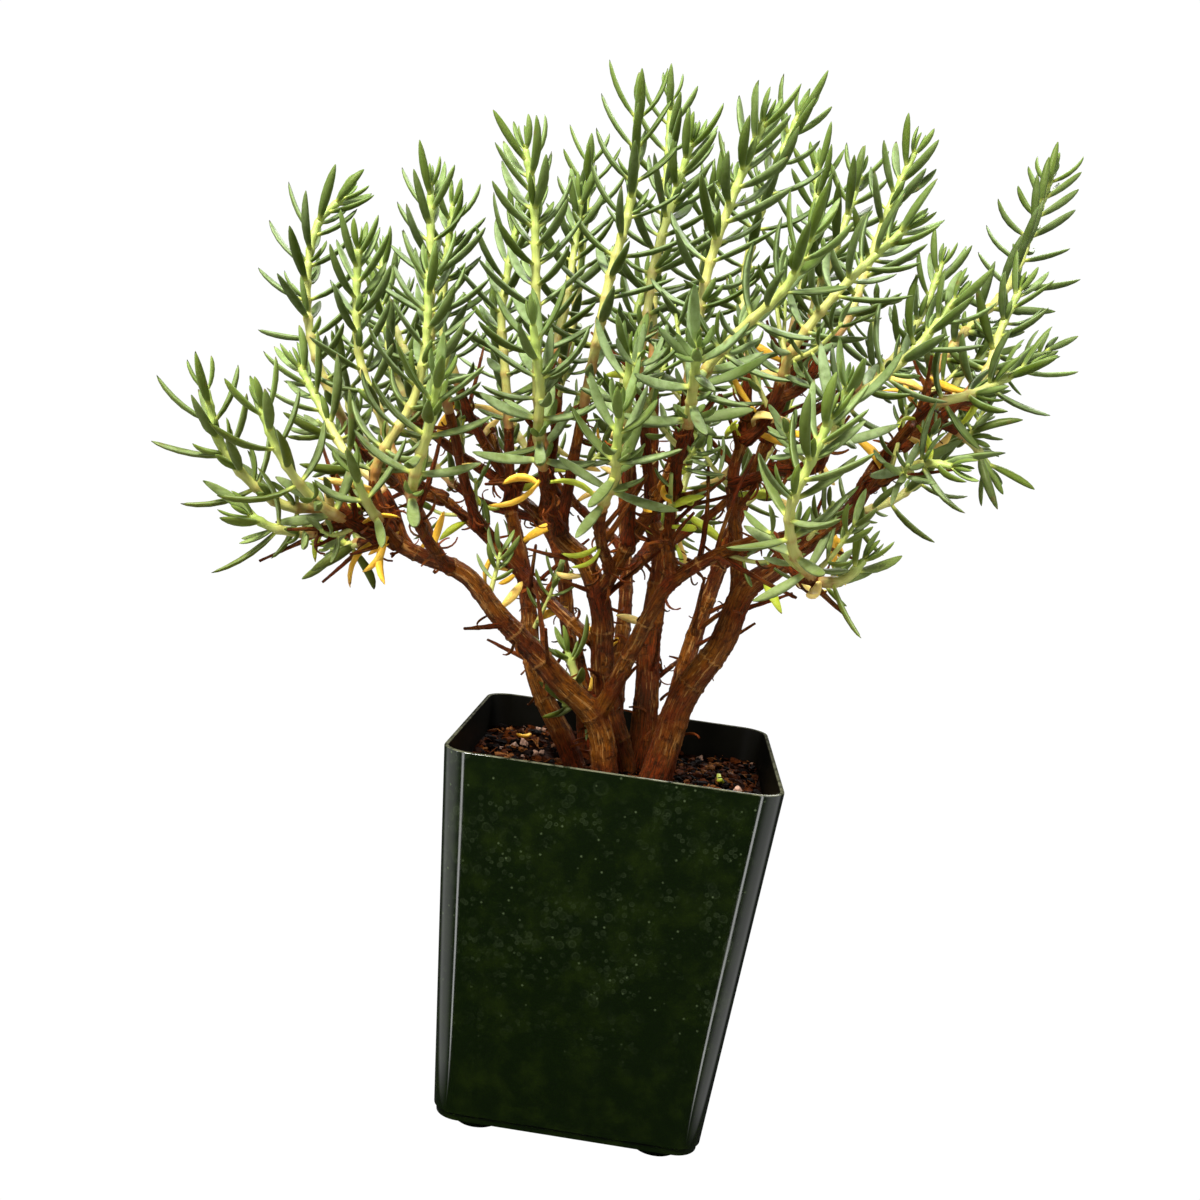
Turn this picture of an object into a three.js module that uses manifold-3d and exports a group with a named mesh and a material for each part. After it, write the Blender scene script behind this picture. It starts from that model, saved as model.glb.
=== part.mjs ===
// A jade bonsai of many woody stems in a square nursery pot, in millimetres with +Z up.
// The origin is the middle of the pot's base, on the surface that its feet stand on.

import * as THREE from "three";
import { mergeVertices } from "three/addons/utils/BufferGeometryUtils.js";
import Module from "manifold-3d";

const wasm = await Module();
wasm.setup();

const clearance = 0.3; // between pieces that lie against each other
const colours = {
  pot: 0x10201a,
  soil: 0x2c1f17,
  wood: 0x6d432a,
  leaf: 0x55755a,
};

const pot = {
  rimHalf: 31.75,
  baseHalf: 25.9,
  rimCorner: 5.8,
  baseCorner: 5,
  height: 76,
  wall: 0.8,
  floor: 1,
  stepHeight: 1.2,
  stepInset: 0.4,
  footRadius: 4.5,
  footEdge: 0.6,
  footHeight: 3,
  footOffset: 17.7,
  drainRadius: 3.2,
  drainOffset: 8.5,
};

const soil = {
  top: 69,
  swell: 0.9,
  waveLength: 9,
  waveShift: 0.6, // radians
  outlines: [1, 0.75, 0.45], // of its top, inward, as parts of the edge
  granules: 20,
  granuleRadius: 1.9,
  granuleReach: 26,
  keptClear: 7.5,
};

const wood = {
  rootDepth: 60, // height at which the trunks end in the soil
  rootPull: 0.5,
  sides: 6,
  twigSides: 4,
  twigRadii: [1.2, 1],
};

const greenStem = {
  radii: [1, 0.65],
  sides: 4, // leaves grow from the flats, each pair a quarter turn on from the last
  nodeHeight: 1.3,
};

const leaf = {
  width: 2.4,
  thickness: 1.25,
  frontShare: 0.35, // of the thickness, on the side that faces the stem
  widest: 0.45, // part of the length
  bend: 0.26,
  lengths: [10.5, 13.5, 10], // low on the stem, in its middle and at its tip
  pitches: [76, 27], // degrees from the stem, low and at its tip
  gaps: [5, 2.4], // between pairs, low and at the tip
  firstPair: 2.2,
  tipMargin: 1,
  sparse: 3, // one pair in this many is left out below the tip
  turnSpread: 0.5, // radians
  sizeSpread: 0.28,
  pitchSpread: 16, // degrees
};

// Each limb runs from its foot or fork to its end, with its radius at both. Rooted ones stand in the soil.
const limbs = [
  {
    radii: [3, 1.4],
    rooted: true,
    points: [[-2, -8, 70], [-5, -10, 81], [-13, -13, 88], [-17, -14, 92], [-26, -17, 100], [-33, -19, 107],
      [-43, -21, 110], [-51, -23, 114]],
  },
  {
    radii: [1.8, 1.2],
    points: [[-5, -10, 81], [-1, -14, 93], [3, -18, 105], [6, -20, 111], [13, -24, 117],
      [22, -28, 122]],
  },
  {
    radii: [2.6, 1.4],
    rooted: true,
    points: [[-10, 2, 71], [-18, 4, 83], [-21, 6, 90], [-23, 8, 99], [-26, 10, 109], [-30, 12, 119]],
  },
  {
    radii: [3.2, 1.7],
    rooted: true,
    points: [[1, 0, 70], [-4, -2, 84], [-6, -4, 94], [-7, -6, 102], [-11, -8, 111], [-17, -8, 116],
      [-19, -8, 123]],
  },
  {
    radii: [3.2, 2],
    rooted: true,
    points: [[4, 8, 71], [4, 10, 83], [3, 12, 94], [3, 13, 104], [3, 14, 113], [0, 14, 120]],
  },
  {
    radii: [3.4, 1.3],
    rooted: true,
    points: [[8, -8, 71], [11, -8, 87], [17, -9, 99], [20, -9, 110], [25, -9, 115], [30, -6, 120],
      [39, 0, 128], [44, 6, 138], [53, 12, 149]],
  },
  {
    radii: [1.5, 1.1],
    points: [[19, -9, 106], [18, -8, 116], [15, -6, 130], [16, -5, 139], [20, -4, 147]],
  },
  {
    radii: [2, 1.2],
    rooted: true,
    points: [[-7, 8, 71], [-10, 12, 83], [-14, 15, 92], [-18, 18, 108], [-24, 22, 117], [-32, 24, 123],
      [-38, 26, 134]],
  },
  {
    radii: [1.4, 1.1],
    points: [[-6, -4, 94], [-21, 6, 103], [-32, 10, 111], [-38, 12, 115], [-44, 12, 119]],
  },
  {
    radii: [1.6, 1.2],
    points: [[-8, -7, 105], [-5, -13, 112], [-3, -17, 117], [0, -18, 123], [3, -19, 131],
      [5, -20, 136]],
  },
  {
    radii: [1.2, 1],
    points: [[6, -20, 111], [5, -21, 115], [4, -22, 122], [4, -22, 128]],
  },
  {
    radii: [2.3, 1.3],
    rooted: true,
    points: [[-2, 12, 71], [-3, 20, 88], [-4, 28, 104], [-7, 36, 120]],
  },
  {
    radii: [2.3, 1.3],
    rooted: true,
    points: [[9, 7, 71], [11, 14, 90], [15, 20, 109], [19, 24, 127], [22, 27, 140]],
  },
];

// Each shoot leaves a limb as a brown twig and is leafy from the twig's last point to its tip.
const shoots = [
  {
    twig: [[-50, -23, 113], [-57, -26, 116]],
    leafy: [[-65, -31, 116], [-71, -35, 120], [-76, -37, 126], [-79, -38, 135]],
  },
  { twig: [[-54, -25, 115], [-59, -31, 112]], leafy: [[-65, -35, 112], [-69, -38, 114]] },
  {
    twig: [[-49, -24, 112], [-54, -32, 115]],
    leafy: [[-59, -38, 119], [-64, -42, 126], [-67, -44, 133]],
  },
  {
    twig: [[-44, -21, 110], [-50, -18, 120]],
    leafy: [[-59, -14, 126], [-66, -10, 134], [-72, -8, 142]],
  },
  { twig: [[-46, -22, 111], [-48, -28, 115]], leafy: [[-50, -33, 119], [-52, -36, 124]] },
  { twig: [[-48, -22, 112], [-54, -15, 110]], leafy: [[-59, -8, 108], [-63, -4, 107]] },
  {
    twig: [[-44, 12, 119], [-52, 14, 122], [-58, 14, 124]],
    leafy: [[-65, 14, 131], [-68, 15, 138], [-71, 16, 146]],
  },
  {
    twig: [[-44, 12, 119], [-52, 8, 120], [-58, 1, 125], [-62, -2, 130]],
    leafy: [[-70, -4, 144], [-74, -2, 157], [-74, 0, 170], [-70, 3, 177]],
  },
  {
    twig: [[-32, 24, 123], [-45, 25, 129], [-54, 26, 135]],
    leafy: [[-62, 29, 145], [-65, 32, 153], [-69, 34, 162]],
  },
  {
    twig: [[-38, -20, 109], [-44, -14, 117], [-50, -10, 125]],
    leafy: [[-55, -9, 135], [-60, -8, 144], [-62, -8, 154], [-63, -8, 166]],
  },
  {
    twig: [[-47, -23, 113], [-51, -24, 122]],
    leafy: [[-49, -26, 129], [-45, -26, 138], [-44, -26, 149], [-45, -26, 161]],
  },
  {
    twig: [[-36, 10, 114], [-40, 5, 126], [-43, 0, 137]],
    leafy: [[-47, -5, 148], [-48, -7, 158], [-51, -5, 180]],
  },
  {
    twig: [[-32, 24, 123], [-40, 20, 134], [-44, 16, 142]],
    leafy: [[-49, 14, 154], [-50, 14, 164], [-50, 14, 180]],
  },
  {
    twig: [[-36, -20, 108], [-38, -32, 113], [-40, -41, 120]],
    leafy: [[-39, -46, 126], [-37, -50, 132], [-35, -56, 141]],
  },
  {
    twig: [[-19, -8, 123], [-21, -17, 131]],
    leafy: [[-23, -22, 141], [-24, -26, 151], [-27, -28, 173], [-30, -28, 184]],
  },
  {
    twig: [[-17, -10, 117], [-19, -24, 124], [-19, -35, 129]],
    leafy: [[-20, -41, 135], [-20, -46, 142], [-22, -50, 152]],
  },
  {
    twig: [[-30, 12, 119], [-32, 10, 135]],
    leafy: [[-34, 8, 147], [-36, 8, 157], [-36, 8, 167], [-35, 8, 178]],
  },
  {
    twig: [[-24, 22, 117], [-24, 26, 134], [-25, 32, 150]],
    leafy: [[-24, 37, 166], [-25, 41, 186], [-26, 44, 199]],
  },
  {
    twig: [[-30, 12, 118], [-27, 17, 136], [-26, 20, 151]],
    leafy: [[-25, 24, 165], [-25, 27, 176], [-25, 28, 187]],
  },
  {
    twig: [[-17, -8, 116], [-16, -12, 129], [-15, -15, 141]],
    leafy: [[-14, -18, 152], [-13, -18, 165], [-11, -18, 180], [-12, -18, 196]],
  },
  {
    twig: [[0, 14, 120], [-3, 5, 135], [-6, -5, 149]],
    leafy: [[-6, -4, 161], [-6, -2, 171], [-4, 0, 184], [-2, 0, 195]],
  },
  {
    twig: [[0, 14, 120], [-2, 16, 137], [-4, 16, 152]],
    leafy: [[-6, 16, 166], [-6, 18, 181], [-8, 20, 208]],
  },
  {
    twig: [[5, -20, 136], [4, -22, 145]],
    leafy: [[4, -22, 157], [5, -22, 170], [8, -22, 184], [11, -22, 195]],
  },
  {
    twig: [[16, -5, 139], [15, -1, 153]],
    leafy: [[13, 0, 160], [12, 2, 173], [14, 2, 188], [18, 2, 203]],
  },
  {
    twig: [[5, -20, 136], [5, -27, 144]],
    leafy: [[7, -31, 150], [12, -36, 157], [18, -40, 164], [21, -42, 173]],
  },
  {
    twig: [[22, 27, 140], [23, 26, 153], [24, 26, 161]],
    leafy: [[25, 28, 173], [26, 30, 187], [25, 33, 201]],
  },
  {
    twig: [[22, 27, 140], [25, 25, 154], [27, 23, 164]],
    leafy: [[29, 24, 176], [32, 27, 188], [34, 30, 200]],
  },
  {
    twig: [[20, -4, 147], [26, -1, 151], [30, 1, 160]],
    leafy: [[33, 2, 165], [36, 6, 177], [39, 8, 190], [42, 8, 200]],
  },
  {
    twig: [[16, -5, 139], [19, -9, 142], [21, -14, 150]],
    leafy: [[22, -18, 156], [27, -20, 165], [33, -20, 173], [39, -20, 180]],
  },
  {
    twig: [[15, -6, 130], [22, -12, 134], [29, -17, 142]],
    leafy: [[36, -18, 150], [44, -18, 159], [50, -18, 169]],
  },
  {
    twig: [[53, 12, 149], [53, 15, 156]],
    leafy: [[59, 22, 167], [69, 30, 180], [74, 38, 195], [78, 46, 208]],
  },
  {
    twig: [[48, 8, 142], [55, 6, 149], [59, 6, 154]],
    leafy: [[63, 8, 160], [65, 12, 168], [68, 14, 177]],
  },
  {
    twig: [[44, 5, 138], [47, -4, 145], [50, -10, 150]],
    leafy: [[57, -12, 153], [66, -12, 159]],
  },
  { twig: [[53, 12, 149], [58, 20, 154]], leafy: [[61, 26, 159], [67, 32, 166]] },
  { twig: [[42, 3, 133], [47, -4, 137]], leafy: [[50, -10, 139], [55, -14, 139]] },
  { twig: [[53, 12, 149], [60, 14, 147]], leafy: [[65, 16, 144], [69, 18, 140]] },
  {
    twig: [[22, -28, 122], [27, -36, 117], [29, -42, 117]],
    leafy: [[25, -48, 121], [23, -54, 128], [25, -56, 136], [27, -56, 143]],
  },
  { twig: [[27, -36, 117], [31, -38, 116]], leafy: [[35, -39, 117], [38, -39, 121]] },
  {
    twig: [[22, -12, 134], [28, -28, 135], [29, -35, 138]],
    leafy: [[30, -41, 143], [30, -45, 149]],
  },
  {
    twig: [[-6, -12, 111], [-8, -24, 117], [-8, -33, 123]],
    leafy: [[-6, -42, 129], [-6, -48, 134], [-6, -52, 140]],
  },
  {
    twig: [[4, -22, 128], [4, -30, 134], [5, -38, 139]],
    leafy: [[5, -48, 146], [5, -57, 151]],
  },
  {
    twig: [[-3, -17, 117], [-4, -26, 129], [-5, -33, 137]],
    leafy: [[-6, -38, 143], [-6, -41, 150]],
  },
  { twig: [[-4, -2, 84], [-9, -4, 85]], leafy: [[-11, -4, 89], [-13, -4, 93]] },
  {
    twig: [[-7, 36, 120], [-10, 44, 134]],
    leafy: [[-12, 50, 148], [-12, 54, 162], [-10, 57, 176]],
  },
  {
    twig: [[-5, 32, 112], [-18, 42, 120], [-26, 46, 126]],
    leafy: [[-36, 50, 136], [-42, 54, 150], [-46, 56, 164]],
  },
  {
    twig: [[-4, 30, 108], [8, 40, 118], [16, 44, 126]],
    leafy: [[24, 49, 138], [28, 53, 152], [32, 56, 166]],
  },
  {
    twig: [[22, 27, 140], [34, 34, 150], [40, 38, 154]],
    leafy: [[48, 42, 162], [54, 45, 174], [57, 47, 186]],
  },
  {
    twig: [[-38, 26, 134], [-52, 34, 142]],
    leafy: [[-62, 40, 150], [-68, 44, 160], [-72, 46, 172]],
  },
  {
    twig: [[-4, 30, 108], [-2, 41, 111], [0, 46, 115]],
    leafy: [[4, 51, 122], [6, 54, 131], [6, 55, 142]],
  },
  {
    twig: [[16, 21, 113], [32, 30, 122], [42, 34, 126]],
    leafy: [[54, 38, 132], [62, 40, 142], [66, 41, 154]],
  },
  {
    twig: [[-24, 22, 117], [-38, 34, 118], [-46, 38, 121]],
    leafy: [[-56, 41, 128], [-62, 44, 138], [-65, 46, 150]],
  },
  {
    twig: [[0, 14, 120], [3, 24, 138], [4, 30, 150]],
    leafy: [[4, 34, 166], [3, 37, 182], [4, 39, 196]],
  },
];

const goldenPart = (Math.sqrt(5) - 1) / 2;
const goldenAngle = 2 * Math.PI * (1 - goldenPart);
const scatter = (k) => (k * goldenPart) % 1; // an even spread of values between 0 and 1

function toSolid(geometry) {
  for (const attribute of ["normal", "uv"]) {
    geometry.deleteAttribute(attribute);
  }
  const merged = mergeVertices(geometry, 1e-5);
  return new wasm.Manifold(new wasm.Mesh({
    numProp: 3,
    vertProperties: merged.attributes.position.array,
    triVerts: Uint32Array.from(merged.index.array),
  }));
}

function toGeometry(solid) {
  const { vertProperties, triVerts } = solid.getMesh();
  const geometry = new THREE.BufferGeometry();
  geometry.setAttribute("position", new THREE.BufferAttribute(vertProperties, 3));
  geometry.setIndex(new THREE.BufferAttribute(triVerts, 1));
  return geometry;
}

// Rings of points become one closed skin, capped flat at both ends or drawn to a tip.
function loft(rings, tip) {
  const sides = rings[0].length;
  const last = (rings.length - 1) * sides;
  const points = rings.flat();
  const faces = [];
  for (let start = 0; start < last; start += sides) {
    for (let s = 0; s < sides; s++) {
      const next = (s + 1) % sides;
      faces.push(start + s, start + next, start + sides + next);
      faces.push(start + s, start + sides + next, start + sides + s);
    }
  }
  for (let s = 1; s + 1 < sides; s++) {
    faces.push(0, s + 1, s);
    if (!tip) {
      faces.push(last, last + s, last + s + 1);
    }
  }
  if (tip) {
    points.push(tip);
    for (let s = 0; s < sides; s++) {
      faces.push(last + s, last + ((s + 1) % sides), points.length - 1);
    }
  }
  const geometry = new THREE.BufferGeometry().setFromPoints(points);
  geometry.setIndex(faces);
  return toSolid(geometry);
}

// A square outline with round corners, counterclockwise from above.
function squareRing(half, corner, z, cornerSteps = 5, sidePoints = 0) {
  const ring = [];
  const flat = half - corner;
  for (let side = 0; side < 4; side++) {
    const turn = side * Math.PI / 2;
    const place = (x, y) => new THREE.Vector3(
      x * Math.cos(turn) - y * Math.sin(turn),
      x * Math.sin(turn) + y * Math.cos(turn),
      z,
    );
    for (let k = 0; k <= cornerSteps; k++) {
      const angle = (k / cornerSteps) * Math.PI / 2;
      ring.push(place(flat + corner * Math.cos(angle), flat + corner * Math.sin(angle)));
    }
    for (let k = 1; k <= sidePoints; k++) {
      ring.push(place(flat - (2 * flat * k) / (sidePoints + 1), half));
    }
  }
  return ring;
}

// Half width and corner radius of the pot's outside at a height, drawn in by an inset.
function potOutline(z, inset = 0) {
  const up = (z - pot.footHeight) / (pot.height - pot.footHeight);
  return [
    THREE.MathUtils.lerp(pot.baseHalf, pot.rimHalf, up) - inset,
    THREE.MathUtils.lerp(pot.baseCorner, pot.rimCorner, up) - inset,
  ];
}

function makePot() {
  const base = pot.footHeight;
  const levels = [
    [base, pot.stepInset],
    [base + pot.stepHeight, pot.stepInset],
    [base + pot.stepHeight + pot.stepInset, 0],
    [pot.height, 0],
  ];
  let solid = loft(levels.map(([z, inset]) => squareRing(...potOutline(z, inset), z)));
  const inside = [base + pot.floor, pot.height + 1];
  solid = solid.subtract(loft(inside.map((z) => squareRing(...potOutline(z, pot.wall), z))));
  const profile = [
    [0, 0],
    [pot.footRadius - pot.footEdge, 0],
    [pot.footRadius, pot.footEdge],
    [pot.footRadius, base + pot.floor / 2],
    [0, base + pot.floor / 2],
  ].map(([x, y]) => new THREE.Vector2(x, y));
  const drain = new THREE.CylinderGeometry(pot.drainRadius, pot.drainRadius, 4 * pot.floor, 10);
  drain.rotateX(Math.PI / 2);
  drain.translate(0, 0, base + pot.floor / 2);
  solid = solid.subtract(toSolid(drain.clone()));
  for (let k = 0; k < 4; k++) {
    const foot = new THREE.LatheGeometry(profile, 12);
    foot.rotateX(Math.PI / 2);
    foot.translate(pot.footOffset, pot.footOffset, 0);
    foot.rotateZ(k * Math.PI / 2);
    solid = solid.add(toSolid(foot));
    const hole = drain.clone();
    hole.translate(2 * pot.drainOffset, 0, 0);
    hole.rotateZ(k * Math.PI / 2);
    solid = solid.subtract(toSolid(hole));
  }
  return solid;
}

const pathSteps = 6; // short straight steps between one point of a path and the next

// A smooth line through points, with its direction and a side that turns with it.
function makePath(points) {
  const corners = points.map((p) => new THREE.Vector3(...p));
  const spline = new THREE.CatmullRomCurve3(corners, false, "catmullrom", 0.5);
  const samples = spline.getPoints(pathSteps * (points.length - 1));
  const distances = [0];
  for (let k = 1; k < samples.length; k++) {
    distances.push(distances[k - 1] + samples[k].distanceTo(samples[k - 1]));
  }
  const along = samples.map((_, k) => {
    const ahead = samples[Math.min(k + 1, samples.length - 1)];
    return ahead.clone().sub(samples[Math.max(k - 1, 0)]).normalize();
  });
  const across = [];
  let side = new THREE.Vector3(0, 1, 0);
  for (const direction of along) {
    side = side.clone().addScaledVector(direction, -side.dot(direction)).normalize();
    across.push(side);
  }
  const at = (distance) => {
    const beyond = distances.findIndex((reached) => reached >= distance);
    const k = beyond < 0 ? distances.length - 1 : Math.max(1, beyond);
    const part = (distance - distances[k - 1]) / (distances[k] - distances[k - 1]);
    const direction = along[k - 1].clone().lerp(along[k], part).normalize();
    const sideways = across[k - 1].clone().lerp(across[k], part);
    sideways.addScaledVector(direction, -sideways.dot(direction)).normalize();
    return {
      point: samples[k - 1].clone().lerp(samples[k], part),
      along: direction,
      side: sideways,
      up: direction.clone().cross(sideways),
    };
  };
  const knots = distances.filter((_, index) => index % pathSteps === 0);
  return { length: distances[distances.length - 1], knots, at };
}

// A tapering round bar with a ring at each point that its path goes through.
function tube(path, [from, to], [startRadius, endRadius], sides) {
  const inner = path.knots.filter((distance) => distance > from + 1 && distance < to - 1);
  const rings = [];
  for (const distance of [from, ...inner, to]) {
    const { point, side, up } = path.at(distance);
    const radius = THREE.MathUtils.lerp(startRadius, endRadius, (distance - from) / (to - from));
    const ring = [];
    for (let s = 0; s < sides; s++) {
      const angle = ((s + 0.5) / sides) * 2 * Math.PI;
      ring.push(point.clone()
        .addScaledVector(side, radius * Math.cos(angle))
        .addScaledVector(up, radius * Math.sin(angle)));
    }
    rings.push(ring);
  }
  return loft(rings);
}

function limbPoints({ points, rooted }) {
  if (!rooted) {
    return points;
  }
  const [x, y] = points[0];
  return [[x * wood.rootPull, y * wood.rootPull, wood.rootDepth], ...points];
}

function limbTubes(margin) {
  return limbs.map((limb) => {
    const path = makePath(limbPoints(limb));
    const radii = limb.radii.map((radius) => radius + margin);
    return { path, radii, rooted: limb.rooted };
  });
}

// A shoot's path, and the distance along it where the brown twig ends and the leafy stem begins.
function shootParts({ twig, leafy }) {
  const path = makePath([...twig, ...leafy]);
  return { path, join: path.knots[twig.length - 1] };
}

const shootPaths = shoots.map(shootParts);

function makeWood() {
  let solid;
  for (const { path, radii } of limbTubes(0)) {
    const piece = tube(path, [0, path.length], radii, wood.sides);
    solid = solid ? solid.add(piece) : piece;
  }
  for (const { path, join } of shootPaths) {
    const end = join - clearance / 2;
    solid = solid.add(tube(path, [0, end], wood.twigRadii, wood.twigSides));
  }
  return solid;
}

function soilHeight(x, y) {
  const wave = Math.sin(x / soil.waveLength) * Math.cos(y / soil.waveLength + soil.waveShift);
  return soil.top + soil.swell * wave;
}

function makeSoil() {
  const bottom = pot.footHeight + pot.floor + clearance;
  const inset = pot.wall + clearance;
  const [half, corner] = potOutline(soil.top, inset);
  const rings = [squareRing(...potOutline(bottom, inset), bottom, 3, 2)];
  for (const part of soil.outlines) {
    const ring = squareRing(half * part, corner * part, soil.top, 3, 2);
    for (const point of ring) {
      point.z = soilHeight(point.x, point.y);
    }
    rings.push(ring);
  }
  let solid = loft(rings);
  for (let k = 1; k <= soil.granules; k++) {
    const reach = THREE.MathUtils.lerp(soil.keptClear, soil.granuleReach, Math.sqrt(k / soil.granules));
    const angle = k * goldenAngle;
    const x = reach * Math.cos(angle);
    const y = reach * Math.sin(angle);
    const size = soil.granuleRadius * (0.7 + 0.6 * scatter(k));
    const granule = new THREE.OctahedronGeometry(size);
    granule.scale(1, 0.7 + 0.5 * scatter(3 * k), 0.8);
    granule.rotateZ(angle * 2);
    granule.translate(x, y, soilHeight(x, y) + size * 0.1);
    solid = solid.add(toSolid(granule));
  }
  for (const { path, radii, rooted } of limbTubes(clearance)) {
    if (rooted) {
      solid = solid.subtract(tube(path, [-2 * clearance, path.length], radii, wood.sides));
    }
  }
  return solid;
}

const stemTurn = (index) => index * goldenAngle;

// Where the leaves sit on a stem: opposite pairs, each a quarter turn on from the last.
function leafPairs(index) {
  const { path, join } = shootPaths[index];
  const start = join + clearance / 2;
  const span = path.length - start - leaf.tipMargin;
  const pairs = [];
  let along = leaf.firstPair;
  for (let pair = 0; along < span; pair++) {
    const up = along / span;
    const draw = index * 37 + pair * 5;
    const sites = [pair % 2, (pair % 2) + 2].map((flat, partner) => ({
      distance: start + along,
      up,
      flat,
      turn: stemTurn(index) + flat * Math.PI / 2 + leaf.turnSpread * (scatter(draw + partner) - 0.5),
      size: 1 + leaf.sizeSpread * (scatter(draw + partner + 2) - 0.5),
      lift: leaf.pitchSpread * (scatter(draw + partner + 3) - 0.5),
    }));
    const gap = THREE.MathUtils.lerp(leaf.gaps[0], leaf.gaps[1], up);
    if (pair % leaf.sparse !== leaf.sparse - 1 || along + gap > span) {
      pairs.push(sites);
    }
    along += gap;
  }
  return pairs;
}

function placeLeaf(path, site, turned, raised, shortened) {
  const frame = path.at(site.distance);
  const [low, middle, top] = leaf.lengths;
  const base = site.up < 0.5
    ? THREE.MathUtils.lerp(low, middle, site.up * 2)
    : THREE.MathUtils.lerp(middle, top, site.up * 2 - 1);
  const pitchDegrees = THREE.MathUtils.lerp(leaf.pitches[0], leaf.pitches[1], site.up ** 1.4);
  const pitch = THREE.MathUtils.degToRad(pitchDegrees + site.lift * (1 - site.up) + raised);
  const turn = site.turn + THREE.MathUtils.degToRad(turned);
  const out = frame.side.clone().multiplyScalar(Math.cos(turn)).addScaledVector(frame.up, Math.sin(turn));
  const along = frame.along.clone().multiplyScalar(Math.cos(pitch)).addScaledVector(out, Math.sin(pitch));
  const front = frame.along.clone().multiplyScalar(Math.sin(pitch)).addScaledVector(out, -Math.cos(pitch));
  return {
    ...site,
    root: frame.point,
    along,
    front,
    across: along.clone().cross(front),
    length: base * site.size * shortened,
  };
}

function leafPoint(placed, part) {
  return placed.root.clone()
    .addScaledVector(placed.along, placed.length * part)
    .addScaledVector(placed.front, leaf.bend * placed.length * (part * part - part));
}

// Spheres along each leaf, stem and limb stand for it when leaves are kept clear of other pieces.
// A leaf's are given as parts of its length, with their radii.
const leafBeads = [[0.12, 0.8], [0.27, 1], [0.45, 1.2], [0.63, 1], [0.82, 0.7], [1, 0.3]];
const beadStep = 1.5;
const beadMargin = 0.15;
const rootPart = 0.4; // nearer the stem than this, a leaf may touch its own stem's leaves
const ownReach = 0.7; // and beyond it, leaves of one stem may lie this much closer

// What a blocked leaf tries in turn: degrees round the stem, degrees off it and its part of full length.
const attempts = [
  [0, 0, 1], [20, 0, 1], [-20, 0, 1], [40, 0, 1], [-40, 0, 1], [0, -15, 1], [0, 15, 1],
  [20, -15, 0.85], [-20, -15, 0.85], [0, 0, 0.75], [20, 0, 0.7], [-20, 0, 0.7],
];

function beadsAlong(path, from, to, [startRadius, endRadius], owner) {
  const beads = [];
  const count = Math.ceil((to - from) / beadStep);
  for (let k = 0; k <= count; k++) {
    const radius = THREE.MathUtils.lerp(startRadius, endRadius, k / count);
    const { point } = path.at(THREE.MathUtils.lerp(from, to, k / count));
    beads.push({ point, radius, owner, inner: true });
  }
  return beads;
}

function placeLeaves() {
  const beads = [];
  for (const { path, radii } of limbTubes(0)) {
    beads.push(...beadsAlong(path, 0, path.length, radii, "wood"));
  }
  shootPaths.forEach(({ path, join }, index) => {
    beads.push(...beadsAlong(path, 0, join, wood.twigRadii, "wood"));
    beads.push(...beadsAlong(path, join, path.length, greenStem.radii, index));
  });
  const isClear = (candidate, owner) => candidate.every((bead) => beads.every((other) => {
    const own = other.owner === owner;
    if (own && (bead.inner || other.inner)) {
      return true;
    }
    const touching = bead.radius + other.radius;
    const reach = own ? touching * ownReach : touching + beadMargin;
    return bead.point.distanceToSquared(other.point) >= reach * reach;
  }));
  return shootPaths.map(({ path }, index) => leafPairs(index).map((sites) => sites.flatMap((site) => {
    for (const attempt of attempts) {
      const placed = placeLeaf(path, site, ...attempt);
      const candidate = leafBeads.map(([part, radius]) => (
        { point: leafPoint(placed, part), radius, owner: index, inner: part < rootPart }
      ));
      if (isClear(candidate, index)) {
        beads.push(...candidate);
        return [placed];
      }
    }
    return [];
  })));
}

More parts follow.
